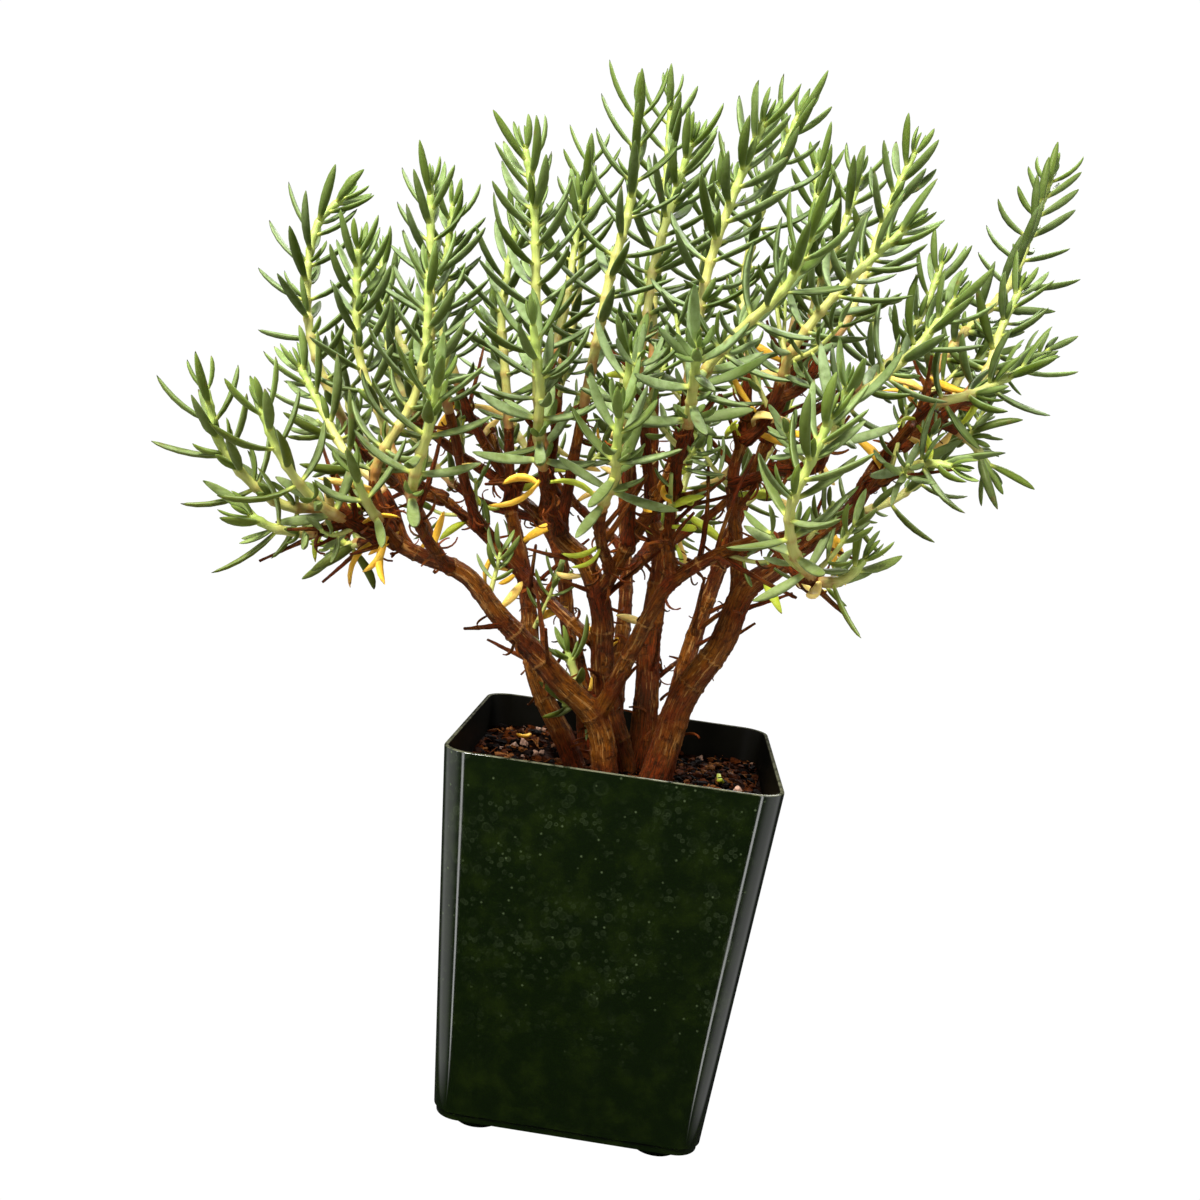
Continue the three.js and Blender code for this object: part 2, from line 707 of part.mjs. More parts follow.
// A square stem in one skin with its leaves: each leaf takes the place of a flat of the stem at its pair.
function makeLeafyStem({ path, join }, pairs, turn) {
  const start = join + clearance / 2;
  const [low, high] = greenStem.radii;
  const points = [];
  const faces = [];
  const addRing = (distance) => {
    const { point, side, up } = path.at(distance);
    const radius = THREE.MathUtils.lerp(low, high, (distance - start) / (path.length - start));
    const first = points.length;
    for (let s = 0; s < greenStem.sides; s++) {
      const angle = turn + (s - 0.5) * Math.PI / 2;
      points.push(point.clone()
        .addScaledVector(side, radius * Math.cos(angle))
        .addScaledVector(up, radius * Math.sin(angle)));
    }
    return first;
  };
  const addFlat = (a, b, c, d) => faces.push(a, b, c, a, c, d);
  // From the flat's corners, low left, low right, high right and high left, out to the leaf's tip.
  const addLeaf = (a, b, c, d, placed) => {
    const middle = leafPoint(placed, leaf.widest);
    const edge = (side) => middle.clone()
      .addScaledVector(placed.across, side * leaf.width / 2)
      .addScaledVector(placed.front, leaf.thickness * leaf.frontShare);
    const left = points.length;
    const keel = left + 1;
    const right = left + 2;
    const tip = left + 3;
    const lowest = middle.clone().addScaledVector(placed.front, leaf.thickness * (leaf.frontShare - 1));
    points.push(edge(1), lowest, edge(-1), leafPoint(placed, 1));
    faces.push(a, b, keel, b, right, keel, b, c, right);
    faces.push(c, d, left, c, left, right, d, a, left, a, keel, left);
    faces.push(keel, right, tip, right, left, tip, left, keel, tip);
  };
  let below = addRing(start);
  faces.push(below, below + 2, below + 1, below, below + 3, below + 2);
  for (const leaves of pairs.filter((pair) => pair.length > 0)) {
    const { distance } = leaves[0];
    const rings = [distance - greenStem.nodeHeight / 2, distance + greenStem.nodeHeight / 2].map(addRing);
    for (const [low, high, grown] of [[below, rings[0], []], [rings[0], rings[1], leaves]]) {
      for (let s = 0; s < greenStem.sides; s++) {
        const next = (s + 1) % greenStem.sides;
        const corners = [low + s, low + next, high + next, high + s];
        const placed = grown.find(({ flat }) => flat === s);
        if (placed) {
          addLeaf(...corners, placed);
        } else {
          addFlat(...corners);
        }
      }
    }
    below = rings[1];
  }
  points.push(path.at(path.length).point);
  for (let s = 0; s < greenStem.sides; s++) {
    faces.push(below + s, below + ((s + 1) % greenStem.sides), points.length - 1);
  }
  const geometry = new THREE.BufferGeometry().setFromPoints(points);
  geometry.setIndex(faces);
  return geometry;
}

const potPlastic = new THREE.MeshStandardMaterial({ color: colours.pot, roughness: 0.2, metalness: 0 });
const soilMix = new THREE.MeshStandardMaterial({ color: colours.soil, roughness: 0.9, metalness: 0 });
const bark = new THREE.MeshStandardMaterial({ color: colours.wood, roughness: 0.7, metalness: 0 });
const foliage = new THREE.MeshStandardMaterial({ color: colours.leaf, roughness: 0.5, metalness: 0 });

const bonsai = new THREE.Group();

function addPiece(name, geometry, material) {
  geometry.computeVertexNormals();
  const mesh = new THREE.Mesh(geometry, material);
  mesh.name = name;
  bonsai.add(mesh);
}

addPiece("pot", toGeometry(makePot()), potPlastic);
addPiece("soil", toGeometry(makeSoil()), soilMix);
addPiece("wood", toGeometry(makeWood()), bark);
placeLeaves().forEach((pairs, index) => {
  const name = `leafy_stem_${String(index + 1).padStart(2, "0")}`;
  addPiece(name, makeLeafyStem(shootPaths[index], pairs, stemTurn(index)), foliage);
});

export default bonsai;
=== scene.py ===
# The looks of the jade bonsai: its pot, soil, wood and leafy stems, dressed over the CAD frame.
# Sizes are in millimetres, as in the part's source, and become Blender's metres through mm.

import math
import random

import bmesh
import bpy
import numpy as np
from mathutils import Matrix, Vector, noise
from mathutils.kdtree import KDTree


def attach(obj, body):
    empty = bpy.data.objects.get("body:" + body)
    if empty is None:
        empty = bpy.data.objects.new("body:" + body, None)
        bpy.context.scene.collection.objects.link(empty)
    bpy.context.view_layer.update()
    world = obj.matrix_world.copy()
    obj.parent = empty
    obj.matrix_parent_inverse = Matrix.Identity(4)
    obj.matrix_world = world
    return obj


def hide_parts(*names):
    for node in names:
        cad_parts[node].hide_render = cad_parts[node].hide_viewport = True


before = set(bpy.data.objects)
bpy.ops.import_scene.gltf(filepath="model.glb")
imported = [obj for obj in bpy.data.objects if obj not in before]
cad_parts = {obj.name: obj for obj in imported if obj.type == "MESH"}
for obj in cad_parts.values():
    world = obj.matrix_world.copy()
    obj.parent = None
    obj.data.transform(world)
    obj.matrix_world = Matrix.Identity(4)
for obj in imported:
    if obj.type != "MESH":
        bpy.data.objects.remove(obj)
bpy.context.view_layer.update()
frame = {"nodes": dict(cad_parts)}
mm = 0.001
dice = random.Random(11)
noise.seed_set(11)


# Everyday steps

def activate(piece):
    bpy.ops.object.select_all(action="DESELECT")
    piece.select_set(True)
    bpy.context.view_layer.objects.active = piece


def startEditing(piece):
    activate(piece)
    bpy.ops.object.mode_set(mode="EDIT")


def stopEditing():
    bpy.ops.object.mode_set(mode="OBJECT")


def turnFaces(inside):  # in edit mode, makes every face look outwards, or inwards
    bpy.ops.mesh.select_all(action="SELECT")
    bpy.ops.mesh.normals_make_consistent(inside=inside)


def pick(piece, kind, rule):  # in edit mode, selects the vertices, edges or faces that pass the rule
    bpy.ops.mesh.select_mode(type=kind)
    bpy.ops.mesh.select_all(action="DESELECT")
    shape = bmesh.from_edit_mesh(piece.data)
    parts = {"VERT": shape.verts, "EDGE": shape.edges, "FACE": shape.faces}[kind]
    for part in parts:
        if rule(part):
            part.select_set(True)
    shape.select_flush_mode()
    bmesh.update_edit_mesh(piece.data)


def applyModifier(piece, kind, **values):
    activate(piece)
    modifier = piece.modifiers.new(kind.lower(), kind)
    for name, value in values.items():
        setattr(modifier, name, value)
    bpy.ops.object.modifier_apply(modifier=modifier.name)


def settle(piece):  # puts the piece's place, turn and scale into its mesh
    activate(piece)
    bpy.ops.object.transform_apply(location=True, rotation=True, scale=True)


def joinAll(pieces, name):
    bpy.ops.object.select_all(action="DESELECT")
    for piece in pieces:
        piece.select_set(True)
    bpy.context.view_layer.objects.active = pieces[0]
    if len(pieces) > 1:
        bpy.ops.object.join()
    joined = bpy.context.view_layer.objects.active
    joined.name = name
    joined.data.name = name
    return joined


def smoothShade(piece, degrees=None):
    activate(piece)
    if degrees is None:
        bpy.ops.object.shade_smooth()
    else:
        bpy.ops.object.shade_smooth_by_angle(angle=math.radians(degrees))


def copyOf(master, name):
    copied = master.copy()
    copied.data = master.data.copy()
    copied.name = name
    bpy.context.collection.objects.link(copied)
    return copied


def readPoints(mesh):
    flat = np.empty(len(mesh.vertices) * 3)
    mesh.vertices.foreach_get("co", flat)
    return flat.reshape(-1, 3)


def writePoints(mesh, points):
    mesh.vertices.foreach_set("co", np.asarray(points, dtype=np.float32).ravel())
    mesh.update()


def setValues(mesh, name, values, kind="FLOAT"):  # one value, or one vector, for each vertex
    layer = mesh.attributes.get(name) or mesh.attributes.new(name, kind, "POINT")
    count = len(mesh.vertices)
    if kind == "FLOAT":
        layer.data.foreach_set("value", np.broadcast_to(np.asarray(values, dtype=np.float32), count).copy())
    else:
        layer.data.foreach_set("vector", np.asarray(values, dtype=np.float32).ravel())


def finishPiece(piece, look, slotName, *nodes):
    piece.data.materials.clear()
    piece.data.materials.append(look)
    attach(piece, "root")
    if nodes:
        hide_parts(*nodes)


def lerp(low, high, part):
    return low + (high - low) * part


# Shader building

def fillSockets(tree, node, sockets):  # links the outputs among the values, and sets the others
    for name, value in sockets.items():
        if isinstance(value, bpy.types.NodeSocket):
            tree.links.new(value, node.inputs[name])
        else:
            node.inputs[name].default_value = value


def addNode(tree, kind, sockets=None, **settings):
    made = tree.nodes.new("ShaderNode" + kind)
    for name, value in settings.items():
        setattr(made, name, value)
    fillSockets(tree, made, sockets or {})
    return made


def layer(tree, colour, *coats):  # lays coats over a colour, each as far as its cover says
    for cover, over in coats:
        under, over = [(*c, 1) if isinstance(c, tuple) else c for c in (colour, over)]
        colour = addNode(tree, "Mix", {0: cover, 6: under, 7: over}, data_type="RGBA").outputs[2]
    return colour


def ramp(tree, value, low, high, start=0.0, end=1.0):
    sockets = {"Value": value, "From Min": low, "From Max": high, "To Min": start, "To Max": end}
    return addNode(tree, "MapRange", sockets, interpolation_type="SMOOTHSTEP").outputs["Result"]


def maths(tree, operation, first, second=0.5):
    return addNode(tree, "Math", {0: first, 1: second}, operation=operation).outputs[0]


def times(tree, first, second):
    return maths(tree, "MULTIPLY", first, second)


def plus(tree, first, second):
    return maths(tree, "ADD", first, second)


def minus(tree, first, second):
    return maths(tree, "SUBTRACT", first, second)


def cloudy(tree, place, scale, detail, roughness=0.5):
    sockets = {"Vector": place, "Scale": scale, "Detail": detail, "Roughness": roughness}
    return addNode(tree, "TexNoise", sockets).outputs["Fac"]


def readValue(tree, name, output="Fac"):
    return addNode(tree, "Attribute", attribute_name=name).outputs[output]


def newLook(name, **sockets):
    look = bpy.data.materials.new(name)
    look.use_nodes = True
    tree = look.node_tree
    values = {socket.replace("_", " "): value for socket, value in sockets.items()}
    fillSockets(tree, tree.nodes["Principled BSDF"], values)
    return look, tree, addNode(tree, "TexCoord").outputs["Object"]


def finishLook(look, colour, rough, relief, strength, depth):
    tree = look.node_tree
    bump = addNode(tree, "Bump", {"Height": relief, "Strength": strength, "Distance": depth})
    sockets = {"Base Color": colour, "Roughness": rough, "Normal": bump.outputs["Normal"]}
    fillSockets(tree, tree.nodes["Principled BSDF"], sockets)
    return look


def newGroup(name, *numbers):  # a place and some numbers in, a mask out
    group = bpy.data.node_groups.new(name, "ShaderNodeTree")
    group.interface.new_socket(name="Place", in_out="INPUT", socket_type="NodeSocketVector")
    for label in numbers:
        group.interface.new_socket(name=label, in_out="INPUT", socket_type="NodeSocketFloat")
    group.interface.new_socket(name="Mask", in_out="OUTPUT", socket_type="NodeSocketFloat")
    entry = group.nodes.new("NodeGroupInput")
    leave = group.nodes.new("NodeGroupOutput")
    return group, entry.outputs, leave.inputs["Mask"]


def useGroup(tree, group, *values):  # with the values of its inputs in their order
    made = tree.nodes.new("ShaderNodeGroup")
    made.node_tree = group
    fillSockets(tree, made, dict(enumerate(values)))
    return made.outputs["Mask"]


def buildMottle():  # soft uneven patches of a given scale, between two levels of a noise
    group, entry, leave = newGroup("uneven patches", "Scale", "Low", "High")
    cloud = cloudy(group, entry["Place"], entry["Scale"], 5, 0.6)
    group.links.new(ramp(group, cloud, entry["Low"], entry["High"]), leave)
    return group


def buildSpots():  # rings or dots round scattered points
    group, entry, leave = newGroup("scattered spots", "Scale", "Radius", "Softness")
    sockets = {"Vector": entry["Place"], "Scale": entry["Scale"]}
    distance = addNode(group, "TexVoronoi", sockets).outputs["Distance"]
    away = maths(group, "ABSOLUTE", minus(group, distance, entry["Radius"]))
    group.links.new(ramp(group, away, entry["Softness"], 0.0), leave)
    return group


def buildGrain():  # fine lines that run the long way of a stem
    group, entry, leave = newGroup("lengthwise grain", "Scale")
    lines = cloudy(group, entry["Place"], entry["Scale"], 4, 0.7)
    group.links.new(ramp(group, lines, 0.36, 0.68), leave)
    return group


mottle = buildMottle()
spots = buildSpots()
grain = buildGrain()


# Stage

stageLook = {
    "camera": (6.1, -266.2, 132.0),
    "turn": (83.86, -7.54, 3.83),  # degrees, with the slight roll that the photo has
    "lens": 39.73,
    "bowl": [(0.55, 0.0), (0.8, 0.02), (1.0, 0.12), (1.15, 0.4), (1.2, 1.0), (1.2, 1.6)],  # metres
    "skyStrength": 0.16,
    "paper": (0.26, 0.26, 0.26),
    # the paper as glossy rays see it: near black, a painted dark reflection in the pot's faces
    "paintedDarkReflection": (0.02, 0.02, 0.02),
    "cameraWhite": 1.02,
    # where the paper glows for glossy rays only, to paint highlight lines and grey reflections on the pot's
    # round corners
    "cornerOut": 0.028,  # from the middle to where the pot's round corners begin, both ways
    "lineSlope": 1.5,
    "lineEdge": (0.26, 0.18),
    "paintedLineGlow": 8,
    "bandTop": (1.2, 0.2),
    "bandFoot": (-0.8, -0.3),
    "paintedBandGlow": 1.1,
    "fadeIn": (0.0, 0.02),
    # place, aim, width, height, watts
    "lights": {
        "key": ((-0.35, -0.6, 0.9), (0, 0, 0.12), 0.26, 0.26, 31),
        "fill": ((0.75, -0.45, 0.5), (0, 0, 0.12), 0.4, 0.5, 3),
        "back": ((0.25, 0.75, 0.8), (0, 0, 0.14), 0.6, 0.4, 9),
        "strip_left": ((-0.5, -0.3, 0.06), (0, 0, 0.05), 0.03, 0.5, 0.8),
    },
}


def paintedCornerReflection(tree, x, y):  # glows where gloss looks out from a pot corner, a white line, then grey: painted highlight and reflection
    away = minus(tree, x, stageLook["cornerOut"])
    slope = maths(tree, "DIVIDE", minus(tree, y, stageLook["cornerOut"]), away)
    off = maths(tree, "ABSOLUTE", minus(tree, slope, stageLook["lineSlope"]))
    line = times(tree, ramp(tree, off, *stageLook["lineEdge"]), stageLook["paintedLineGlow"])
    band = times(tree, ramp(tree, slope, *stageLook["bandTop"]), ramp(tree, slope, *stageLook["bandFoot"]))
    grey = times(tree, band, stageLook["paintedBandGlow"])
    return times(tree, plus(tree, line, grey), ramp(tree, away, *stageLook["fadeIn"]))


def buildPaperLook():
    look, tree, place = newLook(
        "pale studio paper", Roughness=1, Specular_IOR_Level=0, Emission_Color=(1, 1, 1, 1)
    )
    rays = addNode(tree, "LightPath").outputs
    seen, glossy = rays["Is Camera Ray"], rays["Is Glossy Ray"]
    # glossy rays see the paper near black, a painted dark reflection; the camera sees it black under its
    # even white glow
    paper = layer(tree, stageLook["paper"], (glossy, stageLook["paintedDarkReflection"]), (seen, (0, 0, 0)))
    spot = addNode(tree, "SeparateXYZ", {0: place}).outputs
    ahead = times(tree, spot["Y"], -1)
    left = paintedCornerReflection(tree, times(tree, spot["X"], -1), ahead)
    # only glossy rays see these glowing lines: painted highlights and reflections on the pot's corners
    lines = times(tree, glossy, plus(tree, left, paintedCornerReflection(tree, spot["X"], ahead)))
    white = plus(tree, times(tree, seen, stageLook["cameraWhite"]), lines)
    fillSockets(tree, tree.nodes["Principled BSDF"], {"Base Color": paper, "Emission Strength": white})
    return look


def setStage():
    bpy.ops.object.camera_add(location=Vector(stageLook["camera"]) * mm)
    camera = bpy.context.active_object
    camera.rotation_euler = [math.radians(angle) for angle in stageLook["turn"]]
    camera.data.lens = stageLook["lens"]
    camera.data.clip_start = 0.01
    bpy.context.scene.camera = camera

    radius, level = stageLook["bowl"][0]
    bpy.ops.mesh.primitive_circle_add(vertices=48, radius=radius, location=(0, 0, level))
    bowl = bpy.context.active_object
    bowl.name = "studio_floor"
    startEditing(bowl)
    for nextRadius, nextLevel in stageLook["bowl"][1:]:
        bpy.ops.mesh.extrude_edges_move(TRANSFORM_OT_translate={"value": (0, 0, nextLevel - level)})
        part = nextRadius / radius
        bpy.ops.transform.resize(value=(part, part, 1), center_override=(0, 0, nextLevel))
        radius, level = nextRadius, nextLevel
    pick(bowl, "EDGE", lambda edge: edge.is_boundary and edge.verts[0].co.z < 0.001)
    bpy.ops.mesh.edge_face_add()
    turnFaces(inside=True)
    stopEditing()
    applyModifier(bowl, "SUBSURF", levels=2, render_levels=2)
    smoothShade(bowl)
    settle(bowl)
    bowl.data.materials.append(buildPaperLook())

    for name, (place, aim, width, height, watts) in stageLook["lights"].items():
        bpy.ops.object.light_add(type="AREA", location=place)
        light = bpy.context.active_object
        light.name = name
        light.rotation_euler = (Vector(place) - Vector(aim)).to_track_quat("Z", "Y").to_euler()
        light.data.shape = "RECTANGLE"
        light.data.size = width
        light.data.size_y = height
        light.data.energy = watts

    world = bpy.data.worlds.new("soft white room")
    world.use_nodes = True
    world.node_tree.nodes["Background"].inputs["Color"].default_value = (1, 1, 1, 1)
    world.node_tree.nodes["Background"].inputs["Strength"].default_value = stageLook["skyStrength"]
    bpy.context.scene.world = world
    bpy.context.scene.view_settings.view_transform = "Standard"
    print("stage set")


setStage()


# Paths and tables, as in the part's source

def makePath(points):
    corners = np.array(points, dtype=float)
    first = 2 * corners[0] - corners[1]
    last = 2 * corners[-1] - corners[-2]
    ends = np.vstack([first, corners, last])
    samples = []
    for k in range(len(corners) - 1):
        before, start, end, after = ends[k:k + 4]
        for part in np.arange(6) / 6:
            leave, arrive = (end - before) / 2, (after - start) / 2
            samples.append(
                start + leave * part + (3 * (end - start) - 2 * leave - arrive) * part ** 2
                + (2 * (start - end) + leave + arrive) * part ** 3
            )
    samples.append(corners[-1])
    samples = np.array(samples)
    distances = np.concatenate([[0], np.cumsum(np.linalg.norm(np.diff(samples, axis=0), axis=1))])
    ahead = samples[np.minimum(np.arange(len(samples)) + 1, len(samples) - 1)]
    behind = samples[np.maximum(np.arange(len(samples)) - 1, 0)]
    along = (ahead - behind) / np.linalg.norm(ahead - behind, axis=1)[:, None]
    across = []
    side = np.array([0.0, 1.0, 0.0])
    for direction in along:
        side = side - direction * side.dot(direction)
        side = side / np.linalg.norm(side)
        across.append(side)
    return {
        "samples": samples,
        "distances": distances,
        "along": along,
        "across": np.array(across),
        "length": distances[-1],
        "knots": distances[::6],
    }


def pathAt(path, distance):
    reached = path["distances"]
    k = min(max(int(np.searchsorted(reached, distance, side="left")), 1), len(reached) - 1)
    part = (distance - reached[k - 1]) / (reached[k] - reached[k - 1])
    along = lerp(path["along"][k - 1], path["along"][k], part)
    along = along / np.linalg.norm(along)
    side = lerp(path["across"][k - 1], path["across"][k], part)
    side = side - along * side.dot(along)
    side = side / np.linalg.norm(side)
    return lerp(path["samples"][k - 1], path["samples"][k], part), along, side, np.cross(along, side)


woodSizes = {
    "rootDepth": 60,
    "rootPull": 0.5,
    "twigRadii": (1.2, 1.0),
    "clearance": 0.3,
}

limbs = [
    ((3, 1.4), True, [(-2, -8, 70), (-5, -10, 81), (-13, -13, 88), (-17, -14, 92), (-26, -17, 100),
                      (-33, -19, 107), (-43, -21, 110), (-51, -23, 114)]),
    ((1.8, 1.2), False, [(-5, -10, 81), (-1, -14, 93), (3, -18, 105), (6, -20, 111), (13, -24, 117),
                         (22, -28, 122)]),
    ((2.6, 1.4), True, [(-10, 2, 71), (-18, 4, 83), (-21, 6, 90), (-23, 8, 99), (-26, 10, 109),
                        (-30, 12, 119)]),
    ((3.2, 1.7), True, [(1, 0, 70), (-4, -2, 84), (-6, -4, 94), (-7, -6, 102), (-11, -8, 111),
                        (-17, -8, 116), (-19, -8, 123)]),
    ((3.2, 2), True, [(4, 8, 71), (4, 10, 83), (3, 12, 94), (3, 13, 104), (3, 14, 113), (0, 14, 120)]),
    ((3.4, 1.3), True, [(8, -8, 71), (11, -8, 87), (17, -9, 99), (20, -9, 110), (25, -9, 115),
                        (30, -6, 120), (39, 0, 128), (44, 6, 138), (53, 12, 149)]),
    ((1.5, 1.1), False, [(19, -9, 106), (18, -8, 116), (15, -6, 130), (16, -5, 139), (20, -4, 147)]),
    ((2, 1.2), True, [(-7, 8, 71), (-10, 12, 83), (-14, 15, 92), (-18, 18, 108), (-24, 22, 117),
                      (-32, 24, 123), (-38, 26, 134)]),
    ((1.4, 1.1), False, [(-6, -4, 94), (-21, 6, 103), (-32, 10, 111), (-38, 12, 115), (-44, 12, 119)]),
    ((1.6, 1.2), False, [(-8, -7, 105), (-5, -13, 112), (-3, -17, 117), (0, -18, 123), (3, -19, 131),
                         (5, -20, 136)]),
    ((1.2, 1), False, [(6, -20, 111), (5, -21, 115), (4, -22, 122), (4, -22, 128)]),
    ((2.3, 1.3), True, [(-2, 12, 71), (-3, 20, 88), (-4, 28, 104), (-7, 36, 120)]),
    ((2.3, 1.3), True, [(9, 7, 71), (11, 14, 90), (15, 20, 109), (19, 24, 127), (22, 27, 140)]),
]

# Each shoot: the points of its brown twig, then those of its leafy stem.
shoots = [
    ([(-50, -23, 113), (-57, -26, 116)],
     [(-65, -31, 116), (-71, -35, 120), (-76, -37, 126), (-79, -38, 135)]),
    ([(-54, -25, 115), (-59, -31, 112)], [(-65, -35, 112), (-69, -38, 114)]),
    ([(-49, -24, 112), (-54, -32, 115)], [(-59, -38, 119), (-64, -42, 126), (-67, -44, 133)]),
    ([(-44, -21, 110), (-50, -18, 120)], [(-59, -14, 126), (-66, -10, 134), (-72, -8, 142)]),
    ([(-46, -22, 111), (-48, -28, 115)], [(-50, -33, 119), (-52, -36, 124)]),
    ([(-48, -22, 112), (-54, -15, 110)], [(-59, -8, 108), (-63, -4, 107)]),
    ([(-44, 12, 119), (-52, 14, 122), (-58, 14, 124)], [(-65, 14, 131), (-68, 15, 138), (-71, 16, 146)]),
    ([(-44, 12, 119), (-52, 8, 120), (-58, 1, 125), (-62, -2, 130)],
     [(-70, -4, 144), (-74, -2, 157), (-74, 0, 170), (-70, 3, 177)]),
    ([(-32, 24, 123), (-45, 25, 129), (-54, 26, 135)], [(-62, 29, 145), (-65, 32, 153), (-69, 34, 162)]),
    ([(-38, -20, 109), (-44, -14, 117), (-50, -10, 125)],
     [(-55, -9, 135), (-60, -8, 144), (-62, -8, 154), (-63, -8, 166)]),
    ([(-47, -23, 113), (-51, -24, 122)],
     [(-49, -26, 129), (-45, -26, 138), (-44, -26, 149), (-45, -26, 161)]),
    ([(-36, 10, 114), (-40, 5, 126), (-43, 0, 137)], [(-47, -5, 148), (-48, -7, 158), (-51, -5, 180)]),
    ([(-32, 24, 123), (-40, 20, 134), (-44, 16, 142)], [(-49, 14, 154), (-50, 14, 164), (-50, 14, 180)]),
    ([(-36, -20, 108), (-38, -32, 113), (-40, -41, 120)],
     [(-39, -46, 126), (-37, -50, 132), (-35, -56, 141)]),
    ([(-19, -8, 123), (-21, -17, 131)],
     [(-23, -22, 141), (-24, -26, 151), (-27, -28, 173), (-30, -28, 184)]),
    ([(-17, -10, 117), (-19, -24, 124), (-19, -35, 129)],
     [(-20, -41, 135), (-20, -46, 142), (-22, -50, 152)]),
    ([(-30, 12, 119), (-32, 10, 135)], [(-34, 8, 147), (-36, 8, 157), (-36, 8, 167), (-35, 8, 178)]),
    ([(-24, 22, 117), (-24, 26, 134), (-25, 32, 150)], [(-24, 37, 166), (-25, 41, 186), (-26, 44, 199)]),
    ([(-30, 12, 118), (-27, 17, 136), (-26, 20, 151)], [(-25, 24, 165), (-25, 27, 176), (-25, 28, 187)]),
    ([(-17, -8, 116), (-16, -12, 129), (-15, -15, 141)],
     [(-14, -18, 152), (-13, -18, 165), (-11, -18, 180), (-12, -18, 196)]),
    ([(0, 14, 120), (-3, 5, 135), (-6, -5, 149)],
     [(-6, -4, 161), (-6, -2, 171), (-4, 0, 184), (-2, 0, 195)]),
    ([(0, 14, 120), (-2, 16, 137), (-4, 16, 152)], [(-6, 16, 166), (-6, 18, 181), (-8, 20, 208)]),
    ([(5, -20, 136), (4, -22, 145)], [(4, -22, 157), (5, -22, 170), (8, -22, 184), (11, -22, 195)]),
    ([(16, -5, 139), (15, -1, 153)], [(13, 0, 160), (12, 2, 173), (14, 2, 188), (18, 2, 203)]),
    ([(5, -20, 136), (5, -27, 144)], [(7, -31, 150), (12, -36, 157), (18, -40, 164), (21, -42, 173)]),
    ([(22, 27, 140), (23, 26, 153), (24, 26, 161)], [(25, 28, 173), (26, 30, 187), (25, 33, 201)]),
    ([(22, 27, 140), (25, 25, 154), (27, 23, 164)], [(29, 24, 176), (32, 27, 188), (34, 30, 200)]),
    ([(20, -4, 147), (26, -1, 151), (30, 1, 160)],
     [(33, 2, 165), (36, 6, 177), (39, 8, 190), (42, 8, 200)]),
    ([(16, -5, 139), (19, -9, 142), (21, -14, 150)],
     [(22, -18, 156), (27, -20, 165), (33, -20, 173), (39, -20, 180)]),
    ([(15, -6, 130), (22, -12, 134), (29, -17, 142)], [(36, -18, 150), (44, -18, 159), (50, -18, 169)]),
    ([(53, 12, 149), (53, 15, 156)], [(59, 22, 167), (69, 30, 180), (74, 38, 195), (78, 46, 208)]),
    ([(48, 8, 142), (55, 6, 149), (59, 6, 154)], [(63, 8, 160), (65, 12, 168), (68, 14, 177)]),
    ([(44, 5, 138), (47, -4, 145), (50, -10, 150)], [(57, -12, 153), (66, -12, 159)]),
    ([(53, 12, 149), (58, 20, 154)], [(61, 26, 159), (67, 32, 166)]),
    ([(42, 3, 133), (47, -4, 137)], [(50, -10, 139), (55, -14, 139)]),
    ([(53, 12, 149), (60, 14, 147)], [(65, 16, 144), (69, 18, 140)]),
    ([(22, -28, 122), (27, -36, 117), (29, -42, 117)],
     [(25, -48, 121), (23, -54, 128), (25, -56, 136), (27, -56, 143)]),
    ([(27, -36, 117), (31, -38, 116)], [(35, -39, 117), (38, -39, 121)]),
    ([(22, -12, 134), (28, -28, 135), (29, -35, 138)], [(30, -41, 143), (30, -45, 149)]),
    ([(-6, -12, 111), (-8, -24, 117), (-8, -33, 123)], [(-6, -42, 129), (-6, -48, 134), (-6, -52, 140)]),
    ([(4, -22, 128), (4, -30, 134), (5, -38, 139)], [(5, -48, 146), (5, -57, 151)]),
    ([(-3, -17, 117), (-4, -26, 129), (-5, -33, 137)], [(-6, -38, 143), (-6, -41, 150)]),
    ([(-4, -2, 84), (-9, -4, 85)], [(-11, -4, 89), (-13, -4, 93)]),
    ([(-7, 36, 120), (-10, 44, 134)], [(-12, 50, 148), (-12, 54, 162), (-10, 57, 176)]),
    ([(-5, 32, 112), (-18, 42, 120), (-26, 46, 126)], [(-36, 50, 136), (-42, 54, 150), (-46, 56, 164)]),
    ([(-4, 30, 108), (8, 40, 118), (16, 44, 126)], [(24, 49, 138), (28, 53, 152), (32, 56, 166)]),
    ([(22, 27, 140), (34, 34, 150), (40, 38, 154)], [(48, 42, 162), (54, 45, 174), (57, 47, 186)]),
    ([(-38, 26, 134), (-52, 34, 142)], [(-62, 40, 150), (-68, 44, 160), (-72, 46, 172)]),
    ([(-4, 30, 108), (-2, 41, 111), (0, 46, 115)], [(4, 51, 122), (6, 54, 131), (6, 55, 142)]),
    ([(16, 21, 113), (32, 30, 122), (42, 34, 126)], [(54, 38, 132), (62, 40, 142), (66, 41, 154)]),
    ([(-24, 22, 117), (-38, 34, 118), (-46, 38, 121)], [(-56, 41, 128), (-62, 44, 138), (-65, 46, 150)]),
    ([(0, 14, 120), (3, 24, 138), (4, 30, 150)], [(4, 34, 166), (3, 37, 182), (4, 39, 196)]),
]


def limbPath(rooted, points):
    if rooted:
        x, y, _ = points[0]
        pull = woodSizes["rootPull"]
        points = [(x * pull, y * pull, woodSizes["rootDepth"])] + points
    return makePath(points)


limbPaths = [(radii, limbPath(rooted, points)) for radii, rooted, points in limbs]
shootPaths = []
for twigPoints, leafyPoints in shoots:
    wholePath = makePath(twigPoints + leafyPoints)
    shootPaths.append((wholePath, wholePath["knots"][len(twigPoints) - 1]))


